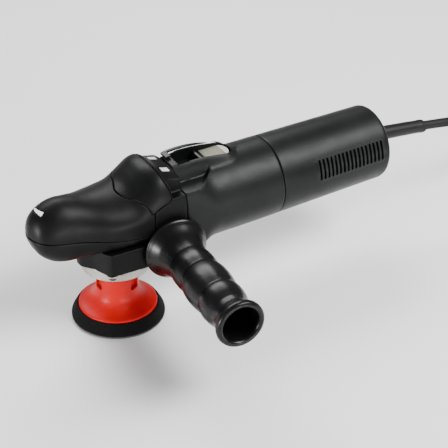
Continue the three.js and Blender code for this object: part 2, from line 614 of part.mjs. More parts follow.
function makeStator() {
  const arc = (radius, from, to, count) =>
    Array.from({ length: count }, (_, i) => {
      const angle = THREE.MathUtils.degToRad(from + ((to - from) * i) / (count - 1));
      return [radius * Math.cos(angle), radius * Math.sin(angle)];
    });
  const yoke = outline(arc(27.4, 0, 348, 30));
  const hole = outline([...arc(16.9, 46, 134, 7), ...arc(23.4, 138, 222, 7), ...arc(16.9, 226, 314, 7),
    ...arc(23.4, 318, 402, 7)]);
  yoke.holes.push(new THREE.Path(hole.getPoints()));
  addPiece("stator_core", placeOnShaft(prismX(yoke, CORE_FRONT_X, CORE_REAR_X), MOTOR_Z), lamination);

  // A flat wire loop wrapped round the cylinder between stator and armature.
  const [wrapRadius, halfLength, halfSpan] = [20.1, 26, 22.2];
  const middle = (CORE_FRONT_X + CORE_REAR_X) / 2;
  [["field_coil_upper", 1], ["field_coil_lower", -1]].forEach(([name, side]) => {
    const loop = new THREE.TorusGeometry(1, 0.1, 5, 28);
    const position = loop.attributes.position;
    for (let i = 0; i < position.count; i += 1) {
      const [u, v, w] = [position.getX(i), position.getY(i), position.getZ(i)];
      const out = Math.hypot(u, v);
      const along = bulge(u / out, 8) * halfLength + (u / out) * (out - 1) * 24;
      const round = bulge(v / out, 8) * halfSpan + (v / out) * (out - 1) * 24;
      const angle = round / wrapRadius;
      const radius = wrapRadius + w * 24;
      const reach = side * radius;
      position.setXYZ(i, middle + along, reach * Math.sin(angle), MOTOR_Z + reach * Math.cos(angle));
    }
    addPiece(name, solid(loop), copper);
  });
  addPiece("air_baffle", turnedX(ringProfile(21, 28.9, 63.6, 65.2)), innerNylon);
}

function makeBrushGear() {
  [["near", -1], ["far", 1]].forEach(([place, side]) => {
    const tube = (x0, x1, half, y0, y1) => {
      const [from, to] = side < 0 ? [-y1, -y0] : [y0, y1];
      return block(x0, x1, from, to, MOTOR_Z - half, MOTOR_Z + half);
    };
    const holder = cut(tube(131.8, 144.2, 6, 12.6, 27), tube(133.4, 142.6, 4.4, 10, 25.4));
    addPiece(`brush_holder_${place}`, holder, brass);
    addPiece(`carbon_brush_${place}`, tube(133.7, 142.3, 4.1, 11.4, 21), carbon);
  });
}

// ---------- motor housing and rear housing ----------
const barrelSize = smoothCurve([[MOTOR_FRONT_X, 31.9], [62, 32.2], [76, 33.2], [92, BARREL_RADIUS],
  [112, BARREL_RADIUS], [SEAM_X, 33.1]]);
const barrelPower = smoothCurve([[MOTOR_FRONT_X, 5], [60, 4.8], [65, 3.6], [70, 2.6], [76, 2.1], [84, 2],
  [SEAM_X, 2]]);

const POCKET = { from: 53, to: 105, half: 8.3, floor: 116.4 };
// Top edge of the hump's side walls, from the head to the tail.
const HUMP_ARCH = [[MOTOR_FRONT_X, 126], [56, 126.8], [66, 127.1], [76.6, 126.3], [88, 124.8], [98.7, 122.6],
  [104, 120.4], [108, 118.4]];

function switchHump() {
  const side = outline([[MOTOR_FRONT_X, 104], [112, 104], [110.8, 116], ...[...HUMP_ARCH].reverse()]);
  const plan = new THREE.Shape();
  plan.moveTo(MOTOR_FRONT_X, -12.6);
  plan.lineTo(98, -12.6);
  plan.absarc(98, 0, 12.6, -Math.PI / 2, Math.PI / 2, false);
  plan.lineTo(MOTOR_FRONT_X, 12.6);
  const foot = [[-18, 104], [18, 104], [15, 112], [12.7, 119], [11.8, 128], [-11.8, 128], [-12.7, 119],
    [-15, 112]];
  const flared = prismX(foot, MOTOR_FRONT_X, 112).intersect(prismY(side, -20, 20));
  const upper = prismZ(plan, 104, 130);
  const low = block(MOTOR_FRONT_X, 84, -20, 20, 104, 130);
  return flared.intersect(upper.add(low));
}

function makeMotorHousing() {
  const stations = [MOTOR_FRONT_X, 56, 62, 66, 70, 75, 81, 88, 96, 112, SEAM_X - 1, SEAM_X - GAP / 2];
  const outer = bodyAlongX(stations, 28, (x, c, s) => {
    const size = barrelSize(x) - (x > SEAM_X - 0.5 ? 0.5 : 0);
    return [size * bulge(c, barrelPower(x)), MOTOR_Z + size * bulge(s, barrelPower(x))];
  });
  const shelves = [-1, 1].map((side) =>
    prismZ(outline([[40, side * 50], [62.7, side * 50], [62.7, side * 32], [67, side * 25.5], [70, side * 21],
      [75.3, side * 15.7], [79, side * 12.6], [79, side * 11], [40, side * 11]]), SHELF_Z, 140));
  const shell = cut(outer, ...shelves).add(switchHump());

  const pocketPlan = new THREE.Shape();
  pocketPlan.moveTo(POCKET.from, -POCKET.half);
  pocketPlan.lineTo(POCKET.to - POCKET.half, -POCKET.half);
  pocketPlan.absarc(POCKET.to - POCKET.half, 0, POCKET.half, -Math.PI / 2, Math.PI / 2, false);
  pocketPlan.lineTo(POCKET.from, POCKET.half);
  const pocket = prismZ(pocketPlan, POCKET.floor, 140);
  const stemSlot = block(72, 94, -2.3, 2.3, 105, 120);
  const bore = diskX(HOUSING_BORE, 40, 128.5, MOTOR_Z, 24);
  const rearBore = diskX(20, 120, 150);
  const linkWay = block(120, 150, -4, 4, 112, 114.3);
  const rearRecess = diskX(HOUSING_BORE, 131.5, 150, MOTOR_Z, 24);
  const tube = cut(shell, pocket, stemSlot, bore, rearBore, linkWay, rearRecess);

  const spider = [45, 135, 225, 315].flatMap((angle) => {
    const turn = THREE.MathUtils.degToRad(angle);
    const arm = new THREE.BoxGeometry(26, 6, 5).translate(143, 0, 25.6).rotateX(turn);
    const spoke = new THREE.BoxGeometry(4.4, 6, 17).translate(153.8, 0, 19.6).rotateX(turn);
    return [arm, spoke].map((part) => solid(part.translate(0, 0, MOTOR_Z)));
  });
  const cup = turnedX(ringProfile(BEARING_BORE, 13.8, 149.6, 157.4));
  addPiece("motor_housing", join(tube, ...spider, cup), grainedBlack);
}

const VENT = { count: 17, from: 172, pitch: 3.86, width: 2.1, bottom: 84.8, top: 101.4 };

function makeRearHousing() {
  const front = SEAM_X + GAP / 2;
  const tailRound = 5.5;
  const corner = Array.from({ length: 5 }, (_, i) => {
    const angle = (i / 4) * (Math.PI / 2);
    return [TAIL_RADIUS - tailRound * (1 - Math.cos(angle)), TAIL_X - tailRound * (1 - Math.sin(angle))];
  });
  const outside = [[29.4, front], [32.5, front], [33, front + 0.9], [32.6, 180], ...corner];
  const inside = [[0, TAIL_X - 3], [22.6, TAIL_X - 3], [27, TAIL_X - 6], [28.6, TAIL_X - 11]];
  const bucket = turnedX([...outside, [0, TAIL_X], ...inside, [29.4, front]], 24);
  const slots = [-1, 1].flatMap((side) =>
    Array.from({ length: VENT.count }, (_, i) => {
      const x = VENT.from + i * VENT.pitch;
      const [y0, y1] = side < 0 ? [-40, -16] : [16, 40];
      return block(x, x + VENT.width, y0, y1, VENT.bottom, VENT.top);
    }),
  );
  const bootHole = diskX(6.9, 235, 250, BOOT_Z, 14);
  const dialSlot = block(235, 250, -3.2, 3.2, DIAL_Z - 8.6, DIAL_Z + 8.6);
  const dialRoom = block(230, 242.2, -3.2, 3.2, DIAL_Z - 9.6, DIAL_Z + 9.6);
  addPiece("rear_housing", cut(bucket, ...slots, bootHole, dialSlot, dialRoom), grainedBlack);
}

// ---------- switch and electronics ----------
function makeSwitch() {
  const plan = (half, from, to) => {
    const shape = new THREE.Shape();
    shape.moveTo(from, -half);
    shape.lineTo(to - half, -half);
    shape.absarc(to - half, 0, half, -Math.PI / 2, Math.PI / 2, false);
    shape.lineTo(from, half);
    return shape;
  };
  const ring = prismZ(plan(11.4, 47.9, 108), 110, 140).subtract(prismZ(plan(8.6, 52.6, 105.2), 100, 150));
  const rail = HUMP_ARCH.map(([x, z]) => [x, z + GAP]);
  const crest = [[106, 120.2], [98.7, 123.5], [88, 126.1], [76.6, 127.7], [66, 128.5], [56, 128.2],
    [50, 127.7], [47.9, 127.1]];
  const farHalf = block(40, 120, 2, 20, 100, 150);
  const guard = ring.intersect(prismY([...rail, ...crest], -20, 20)).intersect(farHalf);
  addPiece("switch_guard", guard, glossBlack);

  const pad = prismZ(plan(7.8, 80.4, 103.6), 118.9, 121.4);
  const grooves = Array.from({ length: 9 }, (_, i) =>
    solid(new THREE.CylinderGeometry(0.5, 0.5, 17, 8).translate(81.9 + i * 1.5, 0, 121.6)),
  );
  addPiece("switch_thumb_pad", cut(pad, ...grooves), creamPlastic);

  const plate = prismZ(plan(7.7, 73.2, 104.2), POCKET.floor + GAP, 118.6);
  const bar = block(73.4, 77.6, -7.7, 7.7, 117, 123.2);
  const stem = block(84.5, 92, -1.9, 1.9, 114, 118);
  addPiece("switch_slider", join(plate, bar, stem), glossBlack);

  const strip = block(84, 149.6, -3, 3, 112.8, 113.7);
  addPiece("switch_link", strip, innerNylon);
  const box = block(149.9, 171, -7.6, 7.6, 100.4, 112.8);
  const plunger = block(148.4, 152, -2, 2, 104, 108);
  const tabs = block(170, 174, -5, 5, 103, 104.2);
  addPiece("switch_module", join(box, plunger, tabs), rubberBlack);
}

function makeSpeedControl() {
  const knurl = toothedOutline(18, DIAL_RADIUS - 0.5, DIAL_RADIUS, 0.62, 0.38, 0);
  const wheel = prismY(knurl, -2.5, 2.5);
  const spindleHole = turnedY([[0, -5], [1.6, -5], [1.6, 5], [0, 5]], 12, 0, 0);
  const dial = wheel.subtract(spindleHole).translate([TAIL_X + 2.2 - DIAL_RADIUS, 0, DIAL_Z]);
  addPiece("speed_dial", dial, glossBlack);

  const board = block(176, 224, -17, 17, 66, 67.6);
  const heatSink = block(182, 200, -15, 15, 67, 76);
  const fins = Array.from({ length: 5 }, (_, i) => block(181, 201, -12.8 + i * 6, -10 + i * 6, 70, 80));
  const capacitor = solid(new THREE.CylinderGeometry(5, 5, 16, 16).translate(212, 0, 72.4));
  addPiece("speed_board", join(board, cut(heatSink, ...fins), capacitor), boardGreen);
}

// ---------- side handle ----------
function makeHandle() {
  const flare = [[24.8, 3.3], [23.4, 6.2], [21.1, 10], [18.9, 15.4], [17.3, 22]];
  const grip = [[16.8, 26.2], [17.7, 34], [16.8, 46], [18.7, 56], [18.7, 62], [17.1, 76], [17.9, 83],
    [17.4, 89], [16, 96], [15.9, 101], [17.9, 106.6], [19.3, 110], [19.1, 112.8]];
  const mouth = [[17.8, HANDLE_LENGTH], [15.8, HANDLE_LENGTH], [14.6, 111.6], [13.4, 113.2], [12, 30],
    [0, 30]];
  const base = [[0, -3], [10.8, -3], [10.8, 0.6], [25.2, 0.6], [25.9, 1.3], [25.9, 2.6]];
  const body = onHandleAxis(-1, [...base, ...flare, ...grip, ...mouth], 24);
  const studHole = onHandleAxis(-1, [[0, -10], [4.3, -10], [4.3, 24], [0, 24]], 10);
  addPiece("handle_grip", body.subtract(studHole), glossBlack);
  addPiece("handle_stud", onHandleAxis(-1, [[0, -22], [3.4, -22], [4, -21.2], [4, 23], [0, 23]], 14), steel);
}

// ---------- mains lead ----------
const bootHeight = (x) => BOOT_Z - BOOT_DROP[0] * (x - TAIL_X) - BOOT_DROP[1] * (x - TAIL_X) ** 2;
const CORD_START_X = TAIL_X + BOOT_LENGTH - 7;

function makeBoot() {
  const end = TAIL_X + BOOT_LENGTH;
  const ribbed = Array.from({ length: 6 }, (_, i) => [6.1 - i * 0.08, TAIL_X + 2 + i * 9.4]);
  const profile = [[0, 239.2], [8.4, 239.2], [8.4, 241.6], [6.5, 241.6], ...ribbed, [5.4, end - 1],
    [4.9, end], [4.3, end], [4.3, end - 8], [0, end - 8]];
  const geometry = turned(profile, 14).rotateY(Math.PI / 2);
  const position = geometry.attributes.position;
  for (let i = 0; i < position.count; i += 1) {
    const x = position.getX(i);
    const drop = x > TAIL_X ? bootHeight(x) : BOOT_Z;
    position.setZ(i, position.getZ(i) + drop);
  }
  addPiece("cord_boot", solid(geometry), rubberBlack);
}

// Route of the lead from the boot over to the coil, in millimetres.
const CORD_ROUTE = [
  [CORD_START_X, 0, bootHeight(CORD_START_X)], [301, 0, 82.4], [312, 0, 80.7], [322, 0, 79.1],
  [332, 0.2, 77.2], [342, 0.8, 74.6], [352, 1.8, 70.6], [362, 3.6, 64.8], [371, 6, 57.8],
  [380, 9, 50.2], [389, 12.2, 43.6], [398, 15.2, 38.8], [407, 17.8, 36.4], [415, 19.4, 36],
];

const PLUG_AXIS_X = COIL_CENTRE[0] + 52;
const PLUG_BACK_Y = COIL_CENTRE[1] - 42;
const PLUG_Z = 7.8;

// The lead's last stretch, from the coil into the plug.
const TAIL_ROUTE = [
  [PLUG_AXIS_X - 4, COIL_CENTRE[1] - 4, 4.6], [PLUG_AXIS_X - 0.6, COIL_CENTRE[1] - 20, 5.4],
  [PLUG_AXIS_X, COIL_CENTRE[1] - 36, 7.2], [PLUG_AXIS_X, PLUG_BACK_Y - 4, PLUG_Z],
];

function cordSection() {
  const section = new THREE.Shape();
  section.absarc(0, 0, CORD_RADIUS, 0, 2 * Math.PI, false);
  return section;
}

function makeCord() {
  const path = new THREE.CatmullRomCurve3(CORD_ROUTE.map((point) => new THREE.Vector3(...point)));
  const tube = new THREE.ExtrudeGeometry(cordSection(), {
    steps: 16, bevelEnabled: false, extrudePath: path, curveSegments: 5,
  });
  addPiece("mains_cord", tube, rubberBlack);

  const [cx, cy] = COIL_CENTRE;
  const [inner, outer] = [COIL_RADIUS - COIL_HALF_WIDTH, COIL_RADIUS + COIL_HALF_WIDTH];
  const top = COIL_HEIGHT - 0.8;
  const ringSection = [[inner + 3, 0], [outer - 3, 0], [outer, 4], [outer, top - 4], [outer - 3, top],
    [inner + 3, top], [inner, top - 4], [inner, 4], [inner + 3, 0]];
  const ring = solid(turned(ringSection, 24).translate(cx, cy, 0));
  const tieWindow = (shrink) =>
    block(cx - 6, cx + 6, cy - 59.6 + shrink, cy - 28.4 - shrink, 1.8 + shrink, 31 - shrink);
  const tieBand = (grow) =>
    block(cx - 5 - grow, cx + 5 + grow, cy - 61.2 - grow, cy - 26.8 + grow, 0.2 - grow, 32.6 + grow);
  const loose = new THREE.CatmullRomCurve3(TAIL_ROUTE.map((point) => new THREE.Vector3(...point)));
  const tail = new THREE.ExtrudeGeometry(cordSection(), {
    steps: 4, bevelEnabled: false, extrudePath: loose, curveSegments: 5,
  });
  addPiece("cord_coil", ring.subtract(tieBand(GAP).subtract(tieWindow(GAP))).add(solid(tail)), rubberBlack);
  addPiece("coil_tie", tieBand(0).subtract(tieWindow(0)), glossBlack);
}

// Two-pin moulded plug that lies beside the coil.
function makePlug() {
  const [x, z] = [PLUG_AXIS_X, PLUG_Z];
  const oval = new THREE.Shape();
  oval.moveTo(-10, -7.5);
  oval.lineTo(10, -7.5);
  oval.absarc(10, 0, 7.5, -Math.PI / 2, Math.PI / 2, false);
  oval.lineTo(-10, 7.5);
  oval.absarc(-10, 0, 7.5, Math.PI / 2, 1.5 * Math.PI, false);
  const [front, back] = [PLUG_BACK_Y - 44, PLUG_BACK_Y - 12];
  const body = prismY(oval, front, back).translate([x, 0, z]);
  const neck = turned([[0, back - 1], [7, back - 1], [5.4, PLUG_BACK_Y], [4.3, PLUG_BACK_Y], [4.3, back + 6],
    [0, back + 6]], 20).rotateX(-Math.PI / 2).translate(x, 0, z);
  const pins = [-9.5, 9.5].map((offset) => {
    const pin = turned([[0, 0], [1.9, 0], [2.4, 1], [2.4, 20], [0, 20]], 14).rotateX(-Math.PI / 2);
    return solid(pin.translate(x + offset, front - 19, z));
  });
  addPiece("mains_plug", join(body, solid(neck), ...pins), rubberBlack);
}

makeHeadCovers();
makeIndexMarks();
makeGearHousing();
makeBearingFlange();
makeSpurStage();
makeBevelStage();
makeIntermediateShaft();
makeSpindle();
makeLockButton();
makePad();
makeGearPlate();
makeArmature();
makeStator();
makeBrushGear();
makeMotorHousing();
makeRearHousing();
makeSwitch();
makeSpeedControl();
makeHandle();
makeBoot();
makeCord();
makePlug();

export default group;
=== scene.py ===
"""Looks of the rotary polisher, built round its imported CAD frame.

Shapes are worked out in millimetres in the row frame (origin at the centre of the pad's face, +Z up the
spindle, +X towards the tail) and turned into metres when a piece is finished.
"""
import json
import math

import bmesh
import bpy
from mathutils import Matrix, Quaternion, Vector


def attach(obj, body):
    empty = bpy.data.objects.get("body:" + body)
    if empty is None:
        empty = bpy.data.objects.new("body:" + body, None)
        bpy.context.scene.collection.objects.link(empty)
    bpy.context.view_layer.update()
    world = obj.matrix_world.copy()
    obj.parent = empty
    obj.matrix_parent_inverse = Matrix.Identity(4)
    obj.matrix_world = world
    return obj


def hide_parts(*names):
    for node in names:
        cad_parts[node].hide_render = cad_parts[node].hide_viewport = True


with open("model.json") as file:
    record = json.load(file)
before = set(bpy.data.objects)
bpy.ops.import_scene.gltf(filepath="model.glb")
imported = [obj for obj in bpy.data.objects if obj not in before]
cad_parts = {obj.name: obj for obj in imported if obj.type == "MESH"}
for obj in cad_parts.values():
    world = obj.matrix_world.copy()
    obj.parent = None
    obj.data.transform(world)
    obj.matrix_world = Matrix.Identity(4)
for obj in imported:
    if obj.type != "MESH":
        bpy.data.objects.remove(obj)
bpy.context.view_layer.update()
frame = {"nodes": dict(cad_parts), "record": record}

MM = 0.001
COARSE = 1.0


# ---------- camera ----------
# place in metres, angles in radians, lens and sensor in millimetres, fitted to the photo
CAMERA = {"at": (-0.475, -0.934, 0.759), "azimuth": 1.019, "drop": 0.574, "roll": 0.001, "lens": 128.4,
          "sensor": 36, "reach": 20}


def make_camera():
    azimuth, drop = CAMERA["azimuth"], CAMERA["drop"]
    aim = Vector((math.cos(azimuth) * math.cos(drop), math.sin(azimuth) * math.cos(drop), -math.sin(drop)))
    data = bpy.data.cameras.new("view")
    data.sensor_width = CAMERA["sensor"]
    data.lens = CAMERA["lens"]
    data.clip_end = CAMERA["reach"]
    camera = bpy.data.objects.new("view", data)
    camera.location = CAMERA["at"]
    camera.rotation_mode = "QUATERNION"
    camera.rotation_quaternion = aim.to_track_quat("-Z", "Y") @ Quaternion((0, 0, 1), -CAMERA["roll"])
    bpy.context.scene.collection.objects.link(camera)
    bpy.context.scene.camera = camera


# ---------- materials ----------
# the Mix node's colour sockets share their names with its number sockets, so they are taken by index
MIX_FIRST, MIX_SECOND, MIX_RESULT = 6, 7, 2
COAT_ROUGHNESS, SHEEN_ROUGHNESS = 0.12, 0.4


class Surface:
    """Builds one procedural material from a Principled shader and layers of noise."""

    def __init__(self, name, colour, roughness, metallic=0.0, specular=0.5, coat=0.0, sheen=0.0,
                 stretch=(1, 1, 1)):
        self.material = bpy.data.materials.new(name)
        self.material.use_nodes = True
        self.tree = self.material.node_tree
        self.shader = self.tree.nodes["Principled BSDF"]
        self.base = colour
        self.roughness = roughness
        self.fill(self.shader, Base_Color=(*colour, 1), Roughness=roughness, Metallic=metallic,
                  Specular_IOR_Level=specular, Coat_Weight=coat, Coat_Roughness=COAT_ROUGHNESS,
                  Sheen_Weight=sheen, Sheen_Roughness=SHEEN_ROUGHNESS)
        where = self.node("TexCoord")
        scaled = self.node("Mapping", Scale=stretch)
        self.tree.links.new(where.outputs["Object"], scaled.inputs["Vector"])
        self.where = scaled.outputs["Vector"]
        self.last_colour = None
        self.last_bump = None

    def fill(self, node, **values):
        """Sets sockets by name, with _ for each space."""
        for name, value in values.items():
            node.inputs[name.replace("_", " ")].default_value = value

    def node(self, kind, **values):
        made = self.tree.nodes.new("ShaderNode" + kind)
        self.fill(made, **values)
        return made

    def pattern(self, kind, **values):
        """A texture node over the object's own coordinates."""
        made = self.node(kind, **values)
        self.tree.links.new(self.where, made.inputs["Vector"])
        return made

    def noise(self, scale, detail=3.0):
        return self.pattern("TexNoise", Scale=scale, Detail=detail, Roughness=0.55).outputs["Fac"]

    def cells(self, scale, feature="F1"):
        made = self.pattern("TexVoronoi", Scale=scale)
        made.feature = feature
        return made.outputs["Distance"]

    def bands(self, scale, direction="X", distortion=0.0):
        made = self.pattern("TexWave", Scale=scale, Distortion=distortion)
        made.bands_direction = direction
        return made.outputs["Fac"]

    def ranged(self, value, low, high, to_low, to_high):
        made = self.node("MapRange", From_Min=low, From_Max=high, To_Min=to_low, To_Max=to_high)
        self.tree.links.new(value, made.inputs["Value"])
        return made.outputs["Result"]

    def mottle(self, second, value, low=0.35, high=0.65, amount=1.0):
        """Mixes the base colour towards a second one where value is high."""
        mix = self.node("Mix")
        mix.data_type = "RGBA"
        self.tree.links.new(self.ranged(value, low, high, 0, amount), mix.inputs["Factor"])
        if self.last_colour is None:
            mix.inputs[MIX_FIRST].default_value = (*self.base, 1)
        else:
            self.tree.links.new(self.last_colour, mix.inputs[MIX_FIRST])
        mix.inputs[MIX_SECOND].default_value = (*second, 1)
        self.last_colour = mix.outputs[MIX_RESULT]
        self.tree.links.new(self.last_colour, self.shader.inputs["Base Color"])
        return self

    def worn_edges(self, colour, start, end, amount):
        """Lightens convex edges, by the mesh's own pointiness."""
        edges = self.node("NewGeometry").outputs["Pointiness"]
        return self.mottle(colour, edges, start, end, amount)

    def uneven_gloss(self, value, swing):
        low, high = self.roughness - swing, self.roughness + swing
        self.tree.links.new(self.ranged(value, 0.3, 0.7, low, high), self.shader.inputs["Roughness"])
        return self

    def relief(self, value, strength, depth):
        """Adds a bump of the given depth in metres on top of the ones before it."""
        bump = self.node("Bump", Strength=strength, Distance=depth)
        self.tree.links.new(value, bump.inputs["Height"])
        if self.last_bump is not None:
            self.tree.links.new(self.last_bump, bump.inputs["Normal"])
        self.last_bump = bump.outputs["Normal"]
        self.tree.links.new(self.last_bump, self.shader.inputs["Normal"])
        return self


def moulded(name, colour, second, roughness, grain, depth, specular):
    """Moulded plastic or rubber: cloudy tone, fine spark-eroded grain, slightly rubbed edges."""
    look = Surface(name, colour, roughness, specular=specular)
    look.mottle(second, look.noise(38, 4), 0.35, 0.7)
    look.worn_edges([min(1, c * 2.2 + 0.012) for c in colour], 0.54, 0.64, 0.5)
    look.uneven_gloss(look.noise(70, 4), 0.05)
    look.relief(look.noise(grain, 2), 0.6, depth)
    look.relief(look.cells(grain * 0.55), 0.35, depth)
    return look.material


def metal(name, colour, second, roughness, stretch=(1, 1, 1)):
    """Machined metal: patchy tone and gloss, fine scratches drawn out along stretch."""
    look = Surface(name, colour, roughness, metallic=0.9, stretch=stretch)
    look.mottle(second, look.noise(120, 5), 0.35, 0.7)
    look.uneven_gloss(look.noise(260, 4), 0.07)
    look.relief(look.noise(900, 3), 0.5, 0.00002)
    return look.material


def make_foam():
    look = Surface("foam", (0.0035, 0.0035, 0.0035), 0.95, specular=0.06, sheen=0.03)
    look.mottle((0.009, 0.009, 0.009), look.cells(2400), 0.25, 0.75)
    look.mottle((0.002, 0.002, 0.002), look.noise(900, 4), 0.5, 0.75)
    look.relief(look.cells(1700), 0.9, 0.0003)
    look.relief(look.noise(4200, 2), 0.6, 0.0001)
    return look.material


def make_hooks():
    look = Surface("hooks", (0.02, 0.02, 0.021), 0.85, specular=0.2, sheen=0.2)
    look.mottle((0.10, 0.10, 0.105), look.cells(900), 0.05, 0.4)
    look.relief(look.cells(900), 1.0, 0.0006)
    look.relief(look.noise(3000, 2), 0.5, 0.0001)
    return look.material


def make_red():
    look = Surface("red_moulding", (0.50, 0.0030, 0.0035), 0.40, specular=0.16)
    look.mottle((0.42, 0.0020, 0.0025), look.noise(45, 4), 0.35, 0.7)
    look.worn_edges((0.62, 0.012, 0.010), 0.55, 0.65, 0.5)
    look.uneven_gloss(look.noise(130, 4), 0.06)
    look.relief(look.noise(1500, 2), 0.25, 0.00003)
    return look.material


def make_cast_silver():
    look = Surface("cast_silver", (0.46, 0.45, 0.40), 0.36, metallic=0.75)
    look.mottle((0.36, 0.35, 0.31), look.noise(160, 5), 0.35, 0.7)
    look.mottle((0.20, 0.19, 0.17), look.noise(55, 5), 0.62, 0.85, 0.5)
    look.worn_edges((0.85, 0.84, 0.80), 0.54, 0.62, 0.7)
    look.uneven_gloss(look.noise(340, 4), 0.09)
    look.relief(look.noise(1300, 3), 0.5, 0.00004)
    look.relief(look.bands(700, "Z", 1.2), 0.12, 0.00003)
    return look.material


def make_lamination():
    look = Surface("lamination", (0.22, 0.225, 0.23), 0.5, metallic=0.8)
    look.mottle((0.10, 0.085, 0.07), look.noise(90, 5), 0.45, 0.75)
    look.mottle((0.08, 0.08, 0.08), look.bands(420), 0.2, 0.6, 0.7)
    look.relief(look.bands(420), 0.6, 0.0001)
    return look.material


def make_copper():
    look = Surface("copper_wire", (0.55, 0.16, 0.055), 0.33, metallic=0.85, coat=0.3)
    look.mottle((0.36, 0.09, 0.03), look.noise(120, 4), 0.35, 0.7)
    look.relief(look.bands(360, "X", 0.6), 0.8, 0.00025)
    return look.material


def make_board():
    look = Surface("circuit_board", (0.016, 0.12, 0.05), 0.42, coat=0.3)
    look.mottle((0.20, 0.16, 0.05), look.cells(260, "DISTANCE_TO_EDGE"), 0.0, 0.05, 0.7)
    look.mottle((0.01, 0.07, 0.03), look.noise(80, 4), 0.4, 0.7)
    return look.material


# slot: material, colour, second colour, roughness, grain, grain depth in metres, specular.
# The blacks are very dark because the default view transform lifts them.
MOULDED = {
    "soft_black": ("over_mould", (0.0022, 0.0023, 0.0024), (0.0034, 0.0035, 0.0036), 0.44, 2600,
                   0.00004, 0.13),
    "painted_black": ("painted_casting", (0.0020, 0.0021, 0.0022), (0.0030, 0.0030, 0.0031), 0.45, 1900,
                      0.00005, 0.11),
    "grained_black": ("grained_moulding", (0.0030, 0.0036, 0.0034), (0.0052, 0.0059, 0.0056), 0.42, 1500,
                      0.00014, 0.17),
    "gloss_black": ("polished_moulding", (0.0022, 0.0022, 0.0023), (0.0034, 0.0034, 0.0035), 0.30, 1800,
                    0.00002, 0.22),
    "rubber_black": ("lead_rubber", (0.0050, 0.0050, 0.0052), (0.008, 0.008, 0.008), 0.45, 2400,
                     0.00004, 0.25),
    "inner_nylon": ("nylon", (0.045, 0.047, 0.050), (0.062, 0.064, 0.066), 0.5, 1700, 0.00006, 0.5),
    "carbon": ("carbon", (0.020, 0.020, 0.022), (0.04, 0.04, 0.042), 0.6, 1300, 0.0001, 0.5),
    "white_inlay": ("white_inlay", (0.88, 0.88, 0.86), (0.80, 0.80, 0.78), 0.38, 2000, 0.00002, 0.5),
    "grey_inlay": ("grey_inlay", (0.58, 0.58, 0.55), (0.50, 0.50, 0.47), 0.42, 2000, 0.00003, 0.5),
    "cream_plastic": ("cream_moulding", (0.36, 0.36, 0.29), (0.30, 0.30, 0.24), 0.5, 2000, 0.00004, 0.3),
}
LOOKS = {slot: moulded(*values) for slot, values in MOULDED.items()}
LOOKS.update({
    "red_plastic": make_red(),
    "foam_black": make_foam(),
    "hook_grey": make_hooks(),
    "cast_silver": make_cast_silver(),
    "dark_steel": metal("blackened_steel", (0.055, 0.050, 0.047), (0.10, 0.09, 0.085), 0.34),
    "steel": metal("ground_steel", (0.46, 0.47, 0.48), (0.38, 0.39, 0.40), 0.28, (1, 1, 6)),
    "bearing_steel": metal("bearing_steel", (0.60, 0.61, 0.62), (0.52, 0.53, 0.54), 0.18, (1, 1, 4)),
    "brass": metal("brass_sheet", (0.62, 0.42, 0.12), (0.48, 0.31, 0.08), 0.3),
    "lamination": make_lamination(),
    "copper": make_copper(),
    "board_green": make_board(),
})


# ---------- shapes ----------
def smooth_curve(points):
    """Smooth curve through given (x, value) points, as the CAD source draws it."""
    def value(x):
        last = len(points) - 2
        i = next((k for k in range(last + 1) if x <= points[k + 1][0]), last)
        (x1, v1), (x2, v2) = points[i], points[i + 1]
        (x0, v0), (x3, v3) = points[max(i - 1, 0)], points[min(i + 2, len(points) - 1)]
        t = min(max((x - x1) / (x2 - x1), 0), 1)
        m1 = (v2 - v0) / (x2 - x0) * (x2 - x1)
        m2 = (v3 - v1) / (x3 - x1) * (x2 - x1)
        a, b = t * t, t * t * t
        return (2 * b - 3 * a + 1) * v1 + (b - 2 * a + t) * m1 + (3 * a - 2 * b) * v2 + (b - a) * m2
    return value


def bulge(value, power):
    """Turns a cosine or sine into a superellipse's coordinate: power 2 is a circle, more is squarer."""
    return 0.0 if abs(value) < 1e-9 else math.copysign(abs(value) ** (2 / power), value)


def spread(low, high, step):
    """Even values from low to high, about step apart."""
    count = max(1, round((high - low) / step))
    return [low + (high - low) * i / count for i in range(count + 1)]


def to_object(bm):
    bmesh.ops.recalc_face_normals(bm, faces=bm.faces)
    mesh = bpy.data.meshes.new("shape")
    bm.to_mesh(mesh)
    bm.free()
    made = bpy.data.objects.new("shape", mesh)
    bpy.context.scene.collection.objects.link(made)
    return made


def joined_rings(rings, closed=False):
    """Skins a list of rings of points. A ring of one point closes the body there."""
    bm = bmesh.new()
    made = [[bm.verts.new(p) for p in ring] for ring in rings]
    pairs = list(zip(made, made[1:]))
    if closed:
        pairs.append((made[-1], made[0]))
    for low, high in pairs:
        count = max(len(low), len(high))
        for i in range(count):
            j = (i + 1) % count
            corners = [low[i % len(low)], low[j % len(low)], high[j % len(high)], high[i % len(high)]]
            unique = list(dict.fromkeys(corners))
            if len(unique) > 2:
                bm.faces.new(unique)
    if not closed:
        for ring in (made[0], made[-1]):
            if len(ring) > 2:
                bm.faces.new(ring)
    return to_object(bm)


def rounded(points, radius, steps=4, closed=False):
    """Rounds the corners of an outline, each by at most radius."""
    line = [Vector(p) for p in points]
    count = len(line)
    out = [] if closed else [tuple(line[0])]
    for i in (range(count) if closed else range(1, count - 1)):
        before, at, after = line[i - 1], line[i], line[(i + 1) % count]
        back, ahead = before - at, after - at
        reach = min(radius, back.length * 0.45, ahead.length * 0.45)
        p, q = at + back.normalized() * reach, at + ahead.normalized() * reach
        for k in range(steps + 1):
            t = k / steps
            out.append(tuple(p * (1 - t) ** 2 + at * 2 * t * (1 - t) + q * t * t))
    if not closed:
        out.append(tuple(line[-1]))
    return out


